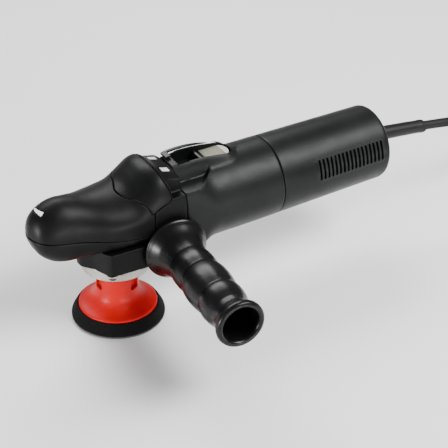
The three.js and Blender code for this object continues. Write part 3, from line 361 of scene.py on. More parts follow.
def turned(profile, segments, closed=False, matrix=None):
    """Turned body round +Z from (radius, height) points."""
    rings = []
    for r, h in profile:
        if r < 1e-6:
            rings.append([Vector((0, 0, h))])
        else:
            angles = [2 * math.pi * i / segments for i in range(segments)]
            rings.append([Vector((r * math.cos(a), r * math.sin(a), h)) for a in angles])
    made = joined_rings(rings, closed)
    if matrix is not None:
        made.data.transform(matrix)
    return made


def along_x(z):
    """Lays a body turned round Z along X, at height z."""
    return Matrix.Translation((0, 0, z)) @ Matrix.Rotation(math.pi / 2, 4, "Y")


def along_y(x, z):
    """Lays a body turned round Z along Y, through x and z."""
    return Matrix.Translation((x, 0, z)) @ Matrix.Rotation(-math.pi / 2, 4, "X")


def rod(radius, low, high):
    """Profile of a plain round rod."""
    return [(0, low), (radius, low), (radius, high), (0, high)]


def disk_x(radius, x0, x1, z, segments=72):
    return turned(rod(radius, x0, x1), segments, matrix=along_x(z))


def disk_y(radius, y0, y1, x, z, segments=48):
    return turned(rod(radius, y0, y1), segments, matrix=along_y(x, z))


def loft(stations, sides, place):
    """Body along X; place(x, cos, sin) gives a section's (y, z)."""
    rings = []
    for x in stations:
        angles = [2 * math.pi * (i + 0.5) / sides for i in range(sides)]
        rings.append([Vector((x, *place(x, math.cos(a), math.sin(a)))) for a in angles])
    return joined_rings(rings)


def prism(outline, low, high, axis):
    """Outline drawn in the two other axes, in X, Y, Z order, and pulled along axis."""
    def at(u, v, w):
        return {"x": (w, u, v), "y": (u, w, v), "z": (u, v, w)}[axis]
    rings = [[Vector(at(u, v, w)) for u, v in outline] for w in (low, high)]
    return joined_rings(rings)


def hexagon(radius):
    return [(radius * math.cos(math.pi * k / 3), radius * math.sin(math.pi * k / 3)) for k in range(6)]


def box_outline(u0, u1, v0, v1):
    return [(u0, v0), (u0, v1), (u1, v1), (u1, v0)]


def track_plan(half, front, back, step=0.1):
    """Plan of the switch track: square in front, a half circle behind."""
    angles = spread(-math.pi / 2, math.pi / 2, step)
    arc = [(back - half + half * math.cos(a), half * math.sin(a)) for a in angles]
    return [(front, -half), *arc, (front, half)]


def block(x0, x1, y0, y1, z0, z1):
    return prism([(x0, y0), (x1, y0), (x1, y1), (x0, y1)], z0, z1, "z")


def evaluated(made):
    """Applies an object's modifiers."""
    graph = bpy.context.evaluated_depsgraph_get()
    mesh = bpy.data.meshes.new_from_object(made.evaluated_get(graph))
    old = made.data
    made.modifiers.clear()
    made.data = mesh
    bpy.data.meshes.remove(old)
    return made


def drop(made):
    mesh = made.data
    bpy.data.objects.remove(made)
    bpy.data.meshes.remove(mesh)


def combined(base, operation, *tools):
    for tool in tools:
        modifier = base.modifiers.new("combine", "BOOLEAN")
        modifier.operation = operation
        modifier.solver = "MANIFOLD"
        modifier.object = tool
    evaluated(base)
    for tool in tools:
        drop(tool)
    return base


def cut(base, *tools):
    return combined(base, "DIFFERENCE", *tools)


def join(base, *tools):
    return combined(base, "UNION", *tools)


def meet(base, *tools):
    return combined(base, "INTERSECT", *tools)


def soften(made, voxel, passes):
    """Rounds a cut body's edges: an even remesh, then a few passes of smoothing."""
    remesh = made.modifiers.new("even", "REMESH")
    remesh.mode = "VOXEL"
    remesh.voxel_size = voxel * COARSE
    smooth = made.modifiers.new("smooth", "SMOOTH")
    smooth.factor = 0.5
    smooth.iterations = max(1, round(passes / COARSE))
    return evaluated(made)


def finish_piece(made, name, slot, node, body="housing", sharp=None):
    """Puts a finished millimetre shape into the row frame with its material and body, and hides the CAD node
    it stands for.
    """
    made.name = name
    made.data.name = name
    made.data.transform(Matrix.Scale(MM, 4))
    made.data.materials.clear()
    made.data.materials.append(LOOKS[slot])
    made.data.shade_smooth()
    if sharp is not None:
        made.data.set_sharp_from_angle(angle=math.radians(sharp))
    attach(made, body)
    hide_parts(node)


# ---------- lead ----------
TAIL_X = 245.0
BOOT_END, BOOT_Z = 301.0, 89.5
BOOT_SLOPE, BOOT_SAG = 0.104, 0.00041
COIL_AT = (424.0, -24.0)
CORD_DIAMETER = 8.0


def boot_height(x):
    """Height of the drooping boot's axis, which leaves the tail face at BOOT_Z."""
    return BOOT_Z - BOOT_SLOPE * (x - TAIL_X) - BOOT_SAG * (x - TAIL_X) ** 2


CORD_ROUTE = [
    (294, 0, boot_height(294)), (301, 0, 82.4), (312, 0, 80.7), (322, 0, 79.1), (332, 0.2, 77.2),
    (342, 0.8, 74.6), (352, 1.8, 70.6), (362, 3.6, 64.8), (371, 6, 57.8), (380, 9, 50.2), (389, 12.2, 43.6),
    (398, 15.2, 38.8), (407, 17.8, 36.4), (415, 19.4, 36),
]
TAIL_ROUTE = [(479.2, -36, 4.5), (477.6, -46, 5.3), (476.4, -56, 6.6), (476, -65, 7.6), (476, -70, 7.8)]
# radius and height of each turn, layer by layer from the top down, one cord apart
COIL_TURNS = [
    (48, 28), (40, 28), (32, 28), (32, 20), (40, 20), (48, 20), (56, 20), (56, 12), (48, 12), (40, 12),
    (32, 12), (32, 4.05), (40, 4.05), (48, 4.05), (56, 4.05),
]
# where the lead comes onto the coil (radius, height), the angles in degrees at which it comes and leaves,
# and how far it takes to move over to the first turn and to each later one
COIL_ENTRY, COIL_START, COIL_END, FIRST_BLEND, LATER_BLEND = (44.3, 36.0), 101.7, -5.0, 110, 60


def smoothstep(t):
    """0 to 1 with level ends."""
    t = min(max(t, 0), 1)
    return t * t * (3 - 2 * t)


def coil_points(step=10):
    """The coil from its entry down to its last turn, a point every step degrees."""
    total = 360 * (len(COIL_TURNS) - 1) + COIL_START - COIL_END
    points = []
    for i in range(1, round(total / step) + 1):
        progress = i * total / round(total / step)
        turn = min(int(progress // 360), len(COIL_TURNS) - 1)
        before = COIL_TURNS[turn - 1] if turn else COIL_ENTRY
        blend = smoothstep((progress - 360 * turn) / (LATER_BLEND if turn else FIRST_BLEND))
        r, z = (a + (b - a) * blend for a, b in zip(before, COIL_TURNS[turn]))
        angle = math.radians(COIL_START - progress)
        points.append((COIL_AT[0] + r * math.cos(angle), COIL_AT[1] + r * math.sin(angle), z))
    return points


def resampled(points, per_span=4):
    """Catmull-Rom curve through points in two or three dimensions, per_span points to each stretch."""
    line = [Vector(p) for p in points]
    out = []
    for i in range(len(line) - 1):
        p0, p1, p2, p3 = line[max(i - 1, 0)], line[i], line[i + 1], line[min(i + 2, len(line) - 1)]
        for k in range(per_span):
            t = k / per_span
            out.append(0.5 * (2 * p1 + (p2 - p0) * t + (2 * p0 - 5 * p1 + 4 * p2 - p3) * t * t
                              + (3 * p1 - p0 - 3 * p2 + p3) * t ** 3))
    out.append(line[-1])
    return out


def make_cord():
    route = resampled(CORD_ROUTE) + [Vector(p) for p in coil_points()]
    tail = resampled([tuple(route[-1])] + TAIL_ROUTE)[1:]
    points = [p * MM for p in route + tail]
    data = bpy.data.curves.new("lead", "CURVE")
    data.dimensions = "3D"
    data.bevel_depth = CORD_DIAMETER / 2 * MM
    data.bevel_resolution = 4
    data.use_fill_caps = True
    spline = data.splines.new("POLY")
    spline.points.add(len(points) - 1)
    for point, where in zip(spline.points, points):
        point.co = (*where, 1)
    spline.use_smooth = True
    lead = bpy.data.objects.new("mains_lead", data)
    bpy.context.scene.collection.objects.link(lead)
    data.materials.append(LOOKS["rubber_black"])
    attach(lead, "housing")
    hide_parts("mains_cord", "cord_coil")
    return lead


def boot_radius(x):
    """A collar inside the tail wall, a long taper, and a low lip at the end."""
    if x < TAIL_X - 3.5:
        return 8.3
    root = TAIL_X - 3
    taper = 6.15 - 0.55 * (x - root) / (BOOT_END - root)
    if x > BOOT_END - 0.7:
        return taper - 0.5 * (1 if x == BOOT_END else 0.15)
    if x > BOOT_END - 6:
        return taper + 0.18
    return taper


def make_boot():
    angles = [2 * math.pi * i / 48 for i in range(48)]

    def ring(x, radius):
        centre = Vector((x, 0, boot_height(x) if x > TAIL_X else BOOT_Z))
        return [centre + Vector((0, radius * math.cos(a), radius * math.sin(a))) for a in angles]

    stations = [238.6, 238.8, 241.4, 241.6, 242.2] + spread(243, BOOT_END - 0.6, 1.5)
    stations += [BOOT_END - 0.2, BOOT_END]
    mouth = [ring(BOOT_END, 4.35), ring(BOOT_END - 4, 4.2)]
    made = joined_rings([ring(x, boot_radius(x)) for x in stations] + mouth)
    finish_piece(made, "lead_boot", "rubber_black", "cord_boot", sharp=40)


def make_tie():
    """A strap round one side of the coil, with four grip ribs on top."""
    band = prism(rounded(box_outline(-85, -50.9, 0.25, 32.4), 5, 6, closed=True), 419.2, 428.8, "x")
    inner = rounded(box_outline(-83.5, -52.4, 1.7, 31), 4, 6, closed=True)
    band = cut(band, prism(inner, 410, 440, "x"))
    ribs = [block(420.6 + i * 2.4, 421.8 + i * 2.4, -82, -54, 32.2, 32.9) for i in range(4)]
    band = join(band, *ribs)
    finish_piece(band, "lead_tie", "gloss_black", "coil_tie", sharp=35)


PLUG_X, PLUG_Z, PLUG_BACK, PIN_TIP = 476.0, 7.8, -66.0, -129.0
PLUG_ROUND, PLUG_HALF, PIN_HALF = 7.5, 10, 9.5


def plug_ring(y, scale):
    """Flat oval section of the plug's body: two half circles side by side."""
    ring = []
    for side, start in ((1, -math.pi / 2), (-1, math.pi / 2)):
        for a in spread(start, start + math.pi, 0.2):
            u = PLUG_X + side * PLUG_HALF + PLUG_ROUND * math.cos(a)
            w = PLUG_Z + PLUG_ROUND * math.sin(a)
            ring.append(Vector((PLUG_X + (u - PLUG_X) * scale, y, PLUG_Z + (w - PLUG_Z) * scale)))
    return ring


def make_plug():
    back = PLUG_BACK
    steps = [(back - 12, 0.45), (back - 12.8, 0.72), (back - 15, 0.88), (back - 19, 0.97), (back - 26, 1.0),
             (back - 40, 1.0), (back - 43.4, 0.985), (back - 44, 0.94)]
    body = joined_rings([plug_ring(y, scale) for y, scale in steps])
    neck_profile = [(0, back - 18), (7, back - 18), (6.9, back - 12)]
    for i in range(5):
        y = back - 11.4 + i * 2.3
        r = 6.5 - i * 0.3
        neck_profile += [(r, y), (r, y + 1.3), (r - 0.8, y + 1.6), (r - 0.8, y + 2.1)]
    neck_profile += [(4.5, back), (4.2, back), (4.2, back - 6), (0, back - 6)]
    neck = turned(neck_profile, 40, matrix=along_y(PLUG_X, PLUG_Z))
    pins = []
    for side in (-1, 1):
        profile = rounded(rod(2.4, PIN_TIP, back - 40), 1.0, 4)
        pins.append(turned(profile, 24, matrix=along_y(PLUG_X + side * PIN_HALF, PLUG_Z)))
    body = join(body, neck, *pins)
    finish_piece(body, "lead_plug", "rubber_black", "mains_plug", sharp=35)


# ---------- head ----------
NOSE_X, HEAD_REAR_X, WIDEST_Z, COVER_WALL, GAP = -73.0, 47.3, 96.0, 3.4, 0.3
NOSE_TIP_X = NOSE_X - 0.9
SHELF_Z, SHELF_Y = 111.2, 21.8
LOWER_POWER = 2.9
# the head's half width, top, bottom and squareness along X
head_width = smooth_curve([
    (NOSE_TIP_X, 0.8), (NOSE_X, 5), (-71.6, 9.4), (-68, 14.2), (-60, 18.6), (-50, 20.6), (-38, 22.4),
    (-28, 25.6), (-18, 29.4), (-6, 31.8), (8, 32.6), (HEAD_REAR_X, 32),
])
head_top = smooth_curve([
    (NOSE_TIP_X, 98), (NOSE_X, 104.6), (-71.6, 109), (-68, 114.2), (-60, 119.4), (-50, 122.2), (-39, 121),
    (-28, 118.6), (-17, 117.4), (-5, 117.4), (5, 119.6), (14, 126), (22, 131.2), (30, 131.8), (36, 127.8),
    (HEAD_REAR_X, 124.6),
])
head_bottom = smooth_curve([
    (NOSE_TIP_X, 95.4), (NOSE_X, 94), (-71.6, 89.6), (-68, 82), (-60, 75.2), (-50, 71.6), (-38, 71),
    (-20, 71.8), (HEAD_REAR_X, 72.6),
])
head_power = smooth_curve([(NOSE_X - 1, 2), (4, 2), (18, 2.3), (30, 2.8), (HEAD_REAR_X, 2.8)])


def head_form(inset, start=NOSE_TIP_X, sides=112, step=1.6):
    """The head as one solid, drawn in by inset all round."""
    def place(x, c, s):
        at = max(min(x, HEAD_REAR_X) - (inset * 0.4 if inset > 0 and x < -60 else 0), NOSE_TIP_X)
        power = head_power(at) if s > 0 else LOWER_POWER
        reach = head_top(at) - WIDEST_Z if s > 0 else WIDEST_Z - head_bottom(at)
        y = max(head_width(at) - inset, 0.6) * bulge(c, power)
        return y, WIDEST_Z + max(reach - inset, 0.6) * bulge(s, power)
    near = [start + d for d in (0, 0.3, 0.9, 1.8, 3.0, 4.4)]
    return loft(near + spread(start + 6, HEAD_REAR_X, step), sides, place)


def head_core(inset, start):
    """A coarser head form, for insides that don't show."""
    return head_form(inset, start, 72, 3)


def s_seam(shift):
    """Everything behind the S-shaped joint of nose cover and saddle, seen from above."""
    seam = [(18.6, -40), (17.8, -33), (16, -31), (13.3, -28.7), (10.2, -25.2), (7, -21.3), (3.6, -18),
            (0.4, -13.2), (-1, -7.6), (-0.6, -3), (0.8, 0), (2.8, 5), (4.6, 9), (6.6, 15), (10.6, 21),
            (14.8, 26), (17.8, 31), (18.6, 40)]
    curve = [(p.x + shift, p.y) for p in resampled(seam, 6)]
    return prism(curve + [(90, 40), (90, -40)], 60, 150, "z")


def saddle_side(grow):
    """The saddle's outline from the side, as a prism across the head."""
    edge = [(-20, 104 - grow), (15.4, 101.4 - grow), (18.4, 104 - grow), (25, 107.2 - grow),
            (31.6, 109.2 - grow), (34.4 + grow, 111.8 - grow), (34 + grow, 117), (31.6 + grow, 124),
            (27.4 + grow, 136), (-20, 136)]
    return prism(rounded(edge, 4, 5, closed=True), -40, 40, "y")


def skirt(grow, low, high):
    """Square foot of the gear housing, narrower in front."""
    half = [(-33, 3.4), (-26, 13), (-21.4, 26.2), (-18.4, 30.2), (8, 32), (HEAD_REAR_X, 32)]
    grown = [(x - grow if x < HEAD_REAR_X else x, y + grow) for x, y in half]
    whole = [(x, -y) for x, y in grown] + grown[::-1]
    return prism(rounded(whole, 1.6, 4, closed=True), low, high, "z")


ARROW_AT, ARROW_STEPS = (-47.6, 0.4), 16


def arrow(grow):
    """Crescent on the nose, tapering to its far end."""
    def arc(first, last, start, end):
        points = []
        for share in [i / ARROW_STEPS for i in range(ARROW_STEPS + 1)]:
            radius, a = first + (last - first) * share, math.radians(start + (end - start) * share)
            points.append((ARROW_AT[0] + radius * math.cos(a), ARROW_AT[1] + radius * math.sin(a)))
        return points
    outline = arc(17.6 + grow, 17.6 + grow, 155 - 4 * grow, 200 + 4 * grow)
    outline += arc(14.9 - grow, 16.8 - grow, 201 + 4 * grow, 157 - 4 * grow)
    return prism(outline, 95, 130, "z")


SEAM_HEIGHT, SEAM_SLOPE = 86.4, 0.145


def seam_slab(drop_by, up):
    """Room above or below the slanted joint of nose cover and lower shell."""
    def height(x):
        return SEAM_HEIGHT - SEAM_SLOPE * x - drop_by
    end = 150 if up else 60
    return prism([(-90, height(-90)), (18.5, height(18.5)), (18.5, end), (-90, end)], -50, 50, "y")


def head_shelf(side):
    """Room over the flat shelf beside the switch hump."""
    plan = [(35.2, 50), (60, 50), (60, SHELF_Y), (37.4, SHELF_Y), (35.2, 26)]
    return prism([(x, side * y) for x, y in plan], SHELF_Z, 150, "z")


def make_head():
    shell = cut(head_form(0), head_core(COVER_WALL, NOSE_X + COVER_WALL))
    upper, lower = shell.copy(), shell.copy()
    for twin in (upper, lower):
        twin.data = shell.data.copy()
        bpy.context.scene.collection.objects.link(twin)

    saddle = meet(shell, s_seam(0.1), saddle_side(0))
    finish_piece(soften(saddle, 0.55, 5), "saddle_skin", "soft_black", "saddle_cover")

    cover = meet(upper, seam_slab(-0.1, True))
    room = meet(s_seam(-GAP - 0.1), saddle_side(GAP + 0.1))
    cover = cut(cover, room, cut(arrow(GAP), head_core(1.6, NOSE_X + 2)))
    finish_piece(soften(cover, 0.55, 5), "nose_skin", "soft_black", "head_cover")

    inlay = cut(meet(head_form(-0.12), arrow(0)), head_core(1, NOSE_X + 1.8))
    finish_piece(soften(inlay, 0.2, 4), "arrow_inlay", "white_inlay", "rotation_arrow")

    under = meet(lower, seam_slab(GAP + 0.1, False))
    recess = [disk_y(1.6, -40, -29.5, -5, 82), disk_y(1.6, 29.5, 40, -5, 82)]
    under = cut(under, skirt(GAP, 50, 78), *recess)
    finish_piece(soften(under, 0.55, 5), "lower_skin", "soft_black", "head_lower_shell")


HANDLE_AT, HANDLE_FLANGE_Y, HANDLE_LEAN = (33.3, 70.8), 36.0, 0.09
STUD_HOLE_R = 4.3
SHAFT_Z, MOTOR_Z = 103.4, 85.0
LOCK_X, LOCK_Z = 0, 64.5
MARK_X, MARK_Y, MARK_HALF = (36.4, 43.2), 10, 2.2


def stud_hole(side, low, high):
    return turned(rod(STUD_HOLE_R, low, high), 40, matrix=handle_axis(side))


def handle_axis(side):
    """Turns +Z outward along the side handle's axis, with its origin on the flange face."""
    way = Vector((-math.sin(HANDLE_LEAN), side * math.cos(HANDLE_LEAN), 0))
    place = Matrix.Translation((HANDLE_AT[0], side * HANDLE_FLANGE_Y, HANDLE_AT[1]))
    return place @ Vector((0, 0, 1)).rotation_difference(way).to_matrix().to_4x4()


def mark_room(side, grow):
    x0, x1, y = MARK_X[0] - grow, MARK_X[1] + grow, side * MARK_Y
    return block(x0, x1, y - MARK_HALF - grow, y + MARK_HALF + grow, 118, 135)


def make_gear_housing():
    inner = meet(head_core(COVER_WALL + GAP, NOSE_X + 4), block(-37, HEAD_REAR_X, -50, 50, 60, 150))
    exposed = meet(head_form(0), block(18.9, HEAD_REAR_X, -50, 50, 60, 150))
    exposed = cut(exposed, meet(s_seam(-GAP), saddle_side(GAP)), head_shelf(-1), head_shelf(1))
    inner = cut(inner, head_shelf(-1), head_shelf(1))
    ahead = block(-50, HEAD_REAR_X, -60, 60, 40, 140)
    seat = rounded(rod(13, -30, -3.3), 0.8)
    seats = join(*[turned(seat, 64, matrix=handle_axis(side)) for side in (-1, 1)])
    seats = meet(seats, ahead)
    lock_seat = disk_y(10.5, 28.4, 36, LOCK_X, LOCK_Z)
    body = join(inner, exposed, skirt(0, 57.5, 77), seats, lock_seat)
    chamber = turned([(0, 40), (25.2, 40), (25.2, 93), (23.6, 99.5), (0, 99.5)], 64)
    journal = turned(rod(7.3, 90, 109.6), 48)
    tools = [chamber, journal, disk_x(9.2, 10, 23, SHAFT_Z), disk_x(11.3, 22.2, 32, SHAFT_Z),
             disk_x(17, 30.4, 50, SHAFT_Z), disk_x(8, 30.4, 50, MOTOR_Z), disk_x(26.7, 44.3, 50, 95)]
    tools += [stud_hole(side, -24, 0) for side in (-1, 1)]
    tools += [disk_y(2.5, 8, 29, LOCK_X, LOCK_Z), disk_y(8, 28.5, 40, LOCK_X, LOCK_Z)]
    tools += [cut(mark_room(side, GAP), head_core(1.3, NOSE_X + 2)) for side in (-1, 1)]
    body = cut(body, *tools)
    finish_piece(soften(body, 0.6, 4), "gear_housing", "painted_black", "gearbox_housing")
    for name, node, side in (("mark_near", "index_mark_near", -1), ("mark_far", "index_mark_far", 1)):
        mark = cut(meet(mark_room(side, 0), head_form(-0.1)), head_core(1, NOSE_X + 2))
        finish_piece(soften(mark, 0.22, 3), name, "grey_inlay", node)


# ---------- bearing flange, spindle lock ----------
SCREW_X, SCREW_Y, FLANGE_TOP = 17.1, 26.3, 57.2
SCREWS = [(-SCREW_X, -SCREW_Y), (SCREW_X, -SCREW_Y), (SCREW_X, SCREW_Y), (-SCREW_X, SCREW_Y)]


def at_screw(profile, segments, screw):
    return turned(profile, segments, matrix=Matrix.Translation((*screw, 0)))


def make_flange():
    top = FLANGE_TOP
    outline = rounded([(0, 48), (28, 48), (28, top), (21, top), (21, 61.4), (0, 61.4)], 0.8)
    ears = [at_screw(rod(4.2, top - 1, top), 40, screw) for screw in SCREWS]
    disc = join(turned(outline, 128), *ears)
    bore = turned([(0, 30), (10, 30), (10, 49.6), (17.8, 49.6), (17.8, 80), (0, 80)], 96)
    groove = turned([(23.6, 47), (24.4, 47), (24.4, 48.5), (23.6, 48.5)], 96, closed=True)
    holes = [at_screw(rod(2.2, 50, 62), 24, screw) for screw in SCREWS]
    disc = cut(disc, bore, groove, *holes)
    finish_piece(soften(disc, 0.35, 3), "silver_flange", "cast_silver", "bearing_flange")

    head, socket_radius = top - 1.3, 1.65
    profile = rounded([(0, head - 2.4), (3, head - 2.4), (3, head), (1.9, head), (1.9, 68), (0, 68)], 0.4, 3)
    for i, (x, y) in enumerate(SCREWS, 1):
        socket = [(x + u, y + v) for u, v in hexagon(socket_radius)]
        screw = cut(at_screw(profile, 40, (x, y)), prism(socket, head - 3, head - 1, "z"))
        finish_piece(screw, f"screw_{i}", "dark_steel", f"flange_screw_{i}", sharp=35)


def make_lock():
    """Button and pin in one, with a ring groove in the cap's face."""
    profile = rounded([(0, 14.6), (2.2, 14.6), (2.2, 33.8), (7.6, 33.8), (7.6, 38.8), (5.6, 38.8),
                       (5.3, 38.2), (4.7, 38.2), (4.4, 38.8), (0, 38.9)], 0.5)
    button = turned(profile, 64, matrix=along_y(LOCK_X, LOCK_Z))
    finish_piece(button, "lock_cap", "gloss_black", "lock_button", "lock", sharp=40)


# ---------- pad ----------
POCKET_TURN, POCKET_COUNT = 58.3, 3


def make_hook_face():
    profile = [(0, 0), (36.9, 0), (37.4, 0.15), (37.5, 0.6), (37.3, 1.1), (36.9, 1.2), (0, 1.2)]
    face = turned(profile, 128)
    finish_piece(face, "hook_disc", "hook_grey", "hook_face", "spindle_group", sharp=50)


def roughen_foam(foam):
    """Makes the foam's side a little uneven, by waves round the spindle."""
    bm = bmesh.new()
    bm.from_mesh(foam.data)
    for vertex in bm.verts:
        x, y, z = vertex.co
        turn = math.atan2(y, x)
        if math.hypot(x, y) > 32.5:
            wave = 0.12 * math.sin(turn * 9 + 1.3) + 0.08 * math.sin(turn * 23 + z)
            wave += 0.05 * math.sin(turn * 61 + 2 * z)
            vertex.co *= 1 + wave / 420
            vertex.co.z = z
    bm.to_mesh(foam.data)
    bm.free()


def make_foam_pad():
    side = resampled([(37.2, 1.5), (37.6, 2.2), (37.2, 3.8), (36.3, 5.6), (35.1, 7.8), (34.0, 9.6),
                      (33.3, 10.6), (32.9, 11.0)])
    profile = [(0, 1.5), *side, (32.0, 11.0), (32.0, 9.4), (0, 9.4)]
    foam = turned(profile, 160)
    roughen_foam(foam)
    finish_piece(foam, "foam_pad", "foam_black", "foam_cushion", "spindle_group", sharp=60)


def make_plate():
    side = resampled([(31.4, 12.2), (30.2, 12.9), (26, 14.6), (21.5, 17.6), (18.6, 21.6), (17.3, 27),
                      (16.8, 33), (16.3, 39), (16.0, 42.4)], 5)
    rim = [(0, 9.7), (31.3, 9.7), (31.6, 10.0), (31.6, 11.9)]
    plate = turned([*rim, *side, (15.4, 43.5), (14.6, 43.5), (0, 43.5)], 144)
    throat = turned(rod(9.6, 30, 50), 64)
    pockets = []
    for i in range(POCKET_COUNT):
        pocket = block(13.4, 23.4, -4.5, 4.5, 29, 61.5)
        pocket.data.transform(Matrix.Rotation(math.radians(POCKET_TURN + i * 360 / POCKET_COUNT), 4, "Z"))
        pockets.append(pocket)
    plate = cut(plate, prism(hexagon(10.2), 14.4, 42.3, "z"), throat, *pockets)
    finish_piece(soften(plate, 0.4, 4), "red_plate", "red_plastic", "backing_plate", "spindle_group")


# ---------- handle ----------
def make_handle():
    """Turned grip: a flared flange, three bulges and a lip with creases between, and a hollow mouth."""
    bumps = [
        [(24.9, 3.2), (24.2, 4.6), (23.4, 6.2), (22.3, 8), (21.1, 10), (19.9, 12.4), (18.9, 15.4), (17.9, 19),
         (17.2, 22.6), (16.8, 25.8)],
        [(16.7, 26.2), (17.3, 29), (17.8, 34), (17.7, 39.6), (16.9, 45.6)],
        [(16.8, 46.2), (17.9, 50), (18.7, 56), (18.8, 62), (18.2, 69), (17.2, 75.6)],
        [(17.1, 76.4), (17.8, 79.6), (18.0, 84), (17.5, 89), (16.6, 93), (15.9, 96)],
        [(15.9, 97), (16.0, 101), (16.9, 104.4), (18.3, 107.2), (19.2, 109.4), (19.4, 111.2), (18.9, 113),
         (17.6, 114)],
    ]
    grip = []
    for bump in bumps:
        grip += resampled(bump, 5)
    mouth = [(16.4, 114.1), (15.4, 113.7), (14.7, 112.4), (14.3, 110.8), (13.9, 108), (12.9, 70), (12, 30),
             (0, 30)]
    base = [(0, -3), (10.8, -3), (10.8, 0.6), (24.6, 0.6), (25.4, 0.8), (25.9, 1.3), (25.9, 2.2), (25.6, 2.8)]
    body = turned(base + grip + mouth, 144, matrix=handle_axis(-1))
    body = cut(body, stud_hole(-1, -10, 24))
    finish_piece(body, "side_grip", "gloss_black", "handle_grip", sharp=50)


# ---------- motor housing ----------
MOTOR_FRONT_X, SEAM_X, HALF_SEAM = 47.6, 137.6, 0.15
MOTOR_BORE = 29.4
POCKET_HALF, POCKET_FLOOR_Z = 8.3, 116.4
# radius and squareness of the barrel along X: square at the gear housing, round from the pocket on
barrel_size = smooth_curve([(MOTOR_FRONT_X, 31.9), (62, 32.2), (76, 33.2), (92, 33.4), (112, 33.4),
                            (SEAM_X, 33.1)])
barrel_power = smooth_curve([(MOTOR_FRONT_X, 5), (60, 4.8), (65, 3.6), (70, 2.6), (76, 2.1), (84, 2),
                             (SEAM_X, 2)])
HUMP_HALF, HUMP_TAIL_X, HUMP_END_X = 12.6, 96, 112
NEAR_SHOULDER, FAR_SHOULDER = 4.4, 9
SHELF_FRONT_X, SHELF_SWEEP, SHELF_RISE, SHELF_RUN = 60.5, 0.77, 16, 9
LEAST_RADIUS = 30.2
hump_line = smooth_curve([(MOTOR_FRONT_X, 126), (56, 126.8), (66, 127.1), (76.6, 126.3), (88, 124.8),
                          (98.7, 122.6), (104, 120.4), (108, 118.4), (112, 116), (140, 113)])


def soft_max(a, b, width):
    """The larger of two values, blended where they are less than width apart."""
    k = max(width - abs(a - b), 0) / width
    return max(a, b) + k * k * width / 4


def shelf_radius(x, y, radius, angle_s):
    """Cuts the barrel down to the flat shelf beside the hump, which rises towards the tail."""
    start = SHELF_FRONT_X + SHELF_SWEEP * (32 - min(abs(y), 32))
    shelf = SHELF_Z + SHELF_RISE * smoothstep((x - start) / SHELF_RUN)
    return max(min(radius, (shelf - MOTOR_Z) / angle_s), LEAST_RADIUS if angle_s < 0.8 else 0)


def hump_radius(x, angle_c, angle_s):
    """Switch hump: a superellipse over the barrel, closed by a half circle at its tail."""
    half = HUMP_HALF
    if x >= HUMP_TAIL_X:
        half = max(HUMP_HALF ** 2 - (x - HUMP_TAIL_X) ** 2, 0.3) ** 0.5
    top = hump_line(x) - MOTOR_Z
    power = FAR_SHOULDER if angle_c > 0 else NEAR_SHOULDER
    return ((abs(angle_c) / half) ** power + (angle_s / top) ** power) ** (-1 / power)


def barrel_radius(x, c, s):
    """Radius of the motor housing's outside at a section's angle, with the cosine and sine it falls on."""
    size, power = barrel_size(x), barrel_power(x)
    y, z = size * bulge(c, power), size * bulge(s, power)
    radius = math.hypot(y, z)
    angle_c, angle_s = y / radius, z / radius
    if angle_s > 0.05:
        radius = shelf_radius(x, y, radius, angle_s)
        if x < HUMP_END_X:
            blend = 2.5 + 4 * smoothstep((x - 56) / 30)
            radius = soft_max(radius, hump_radius(x, angle_c, angle_s), blend)
    return radius, angle_c, angle_s


def make_motor_housing():
    def place(x, c, s):
        radius, u, v = barrel_radius(x, c, s)
        edge = min(x - MOTOR_FRONT_X, SEAM_X - HALF_SEAM - x)
        radius -= 0.7 * (1 - min(edge / 0.9, 1)) ** 2
        return radius * u, MOTOR_Z + radius * v

    ends = [0, 0.15, 0.4, 0.9]
    stations = [MOTOR_FRONT_X + e for e in ends] + spread(MOTOR_FRONT_X + 1.8, SEAM_X - 2, 1.2)
    stations += [SEAM_X - HALF_SEAM - e for e in reversed(ends)]
    shell = loft(stations, 200, place)

    pocket = prism(track_plan(POCKET_HALF, 53, 105, 0.13), POCKET_FLOOR_Z, 140, "z")
    stem_slot = block(72, 94, -2.3, 2.3, 105, 120)
    link_way = block(120, 150, -4, 4, 112, 114.3)
    front_room, rear_room = disk_x(MOTOR_BORE, 40, 128.5, MOTOR_Z), disk_x(MOTOR_BORE, 131.5, 150, MOTOR_Z)
    tube = cut(shell, pocket, stem_slot, front_room, disk_x(20, 120, 150, MOTOR_Z), link_way, rear_room)
    # four arms carry the cup of the rear motor bearing
    arms = []
    for angle in (45, 135, 225, 315):
        turn = Matrix.Translation((0, 0, MOTOR_Z)) @ Matrix.Rotation(math.radians(angle), 4, "X")
        for box in (block(130, 156, -3, 3, 23.1, 28.1), block(151.6, 156, -3, 3, 11.1, 28.1)):
            box.data.transform(turn)
            arms.append(box)
    ring = [(11.3, 149.6), (13.8, 149.6), (13.8, 157.4), (11.3, 157.4)]
    cup = turned(ring, 64, closed=True, matrix=along_x(MOTOR_Z))
    tube = join(tube, *arms, cup)
    finish_piece(tube, "barrel_front", "grained_black", "motor_housing", sharp=32)


VENTS = {"count": 17, "from": 172.0, "pitch": 3.86, "width": 2.1, "low": -0.2, "high": 16.4}
DIAL_X, DIAL_Z, DIAL_SLOT_HALF = 238.2, 68, 3.2


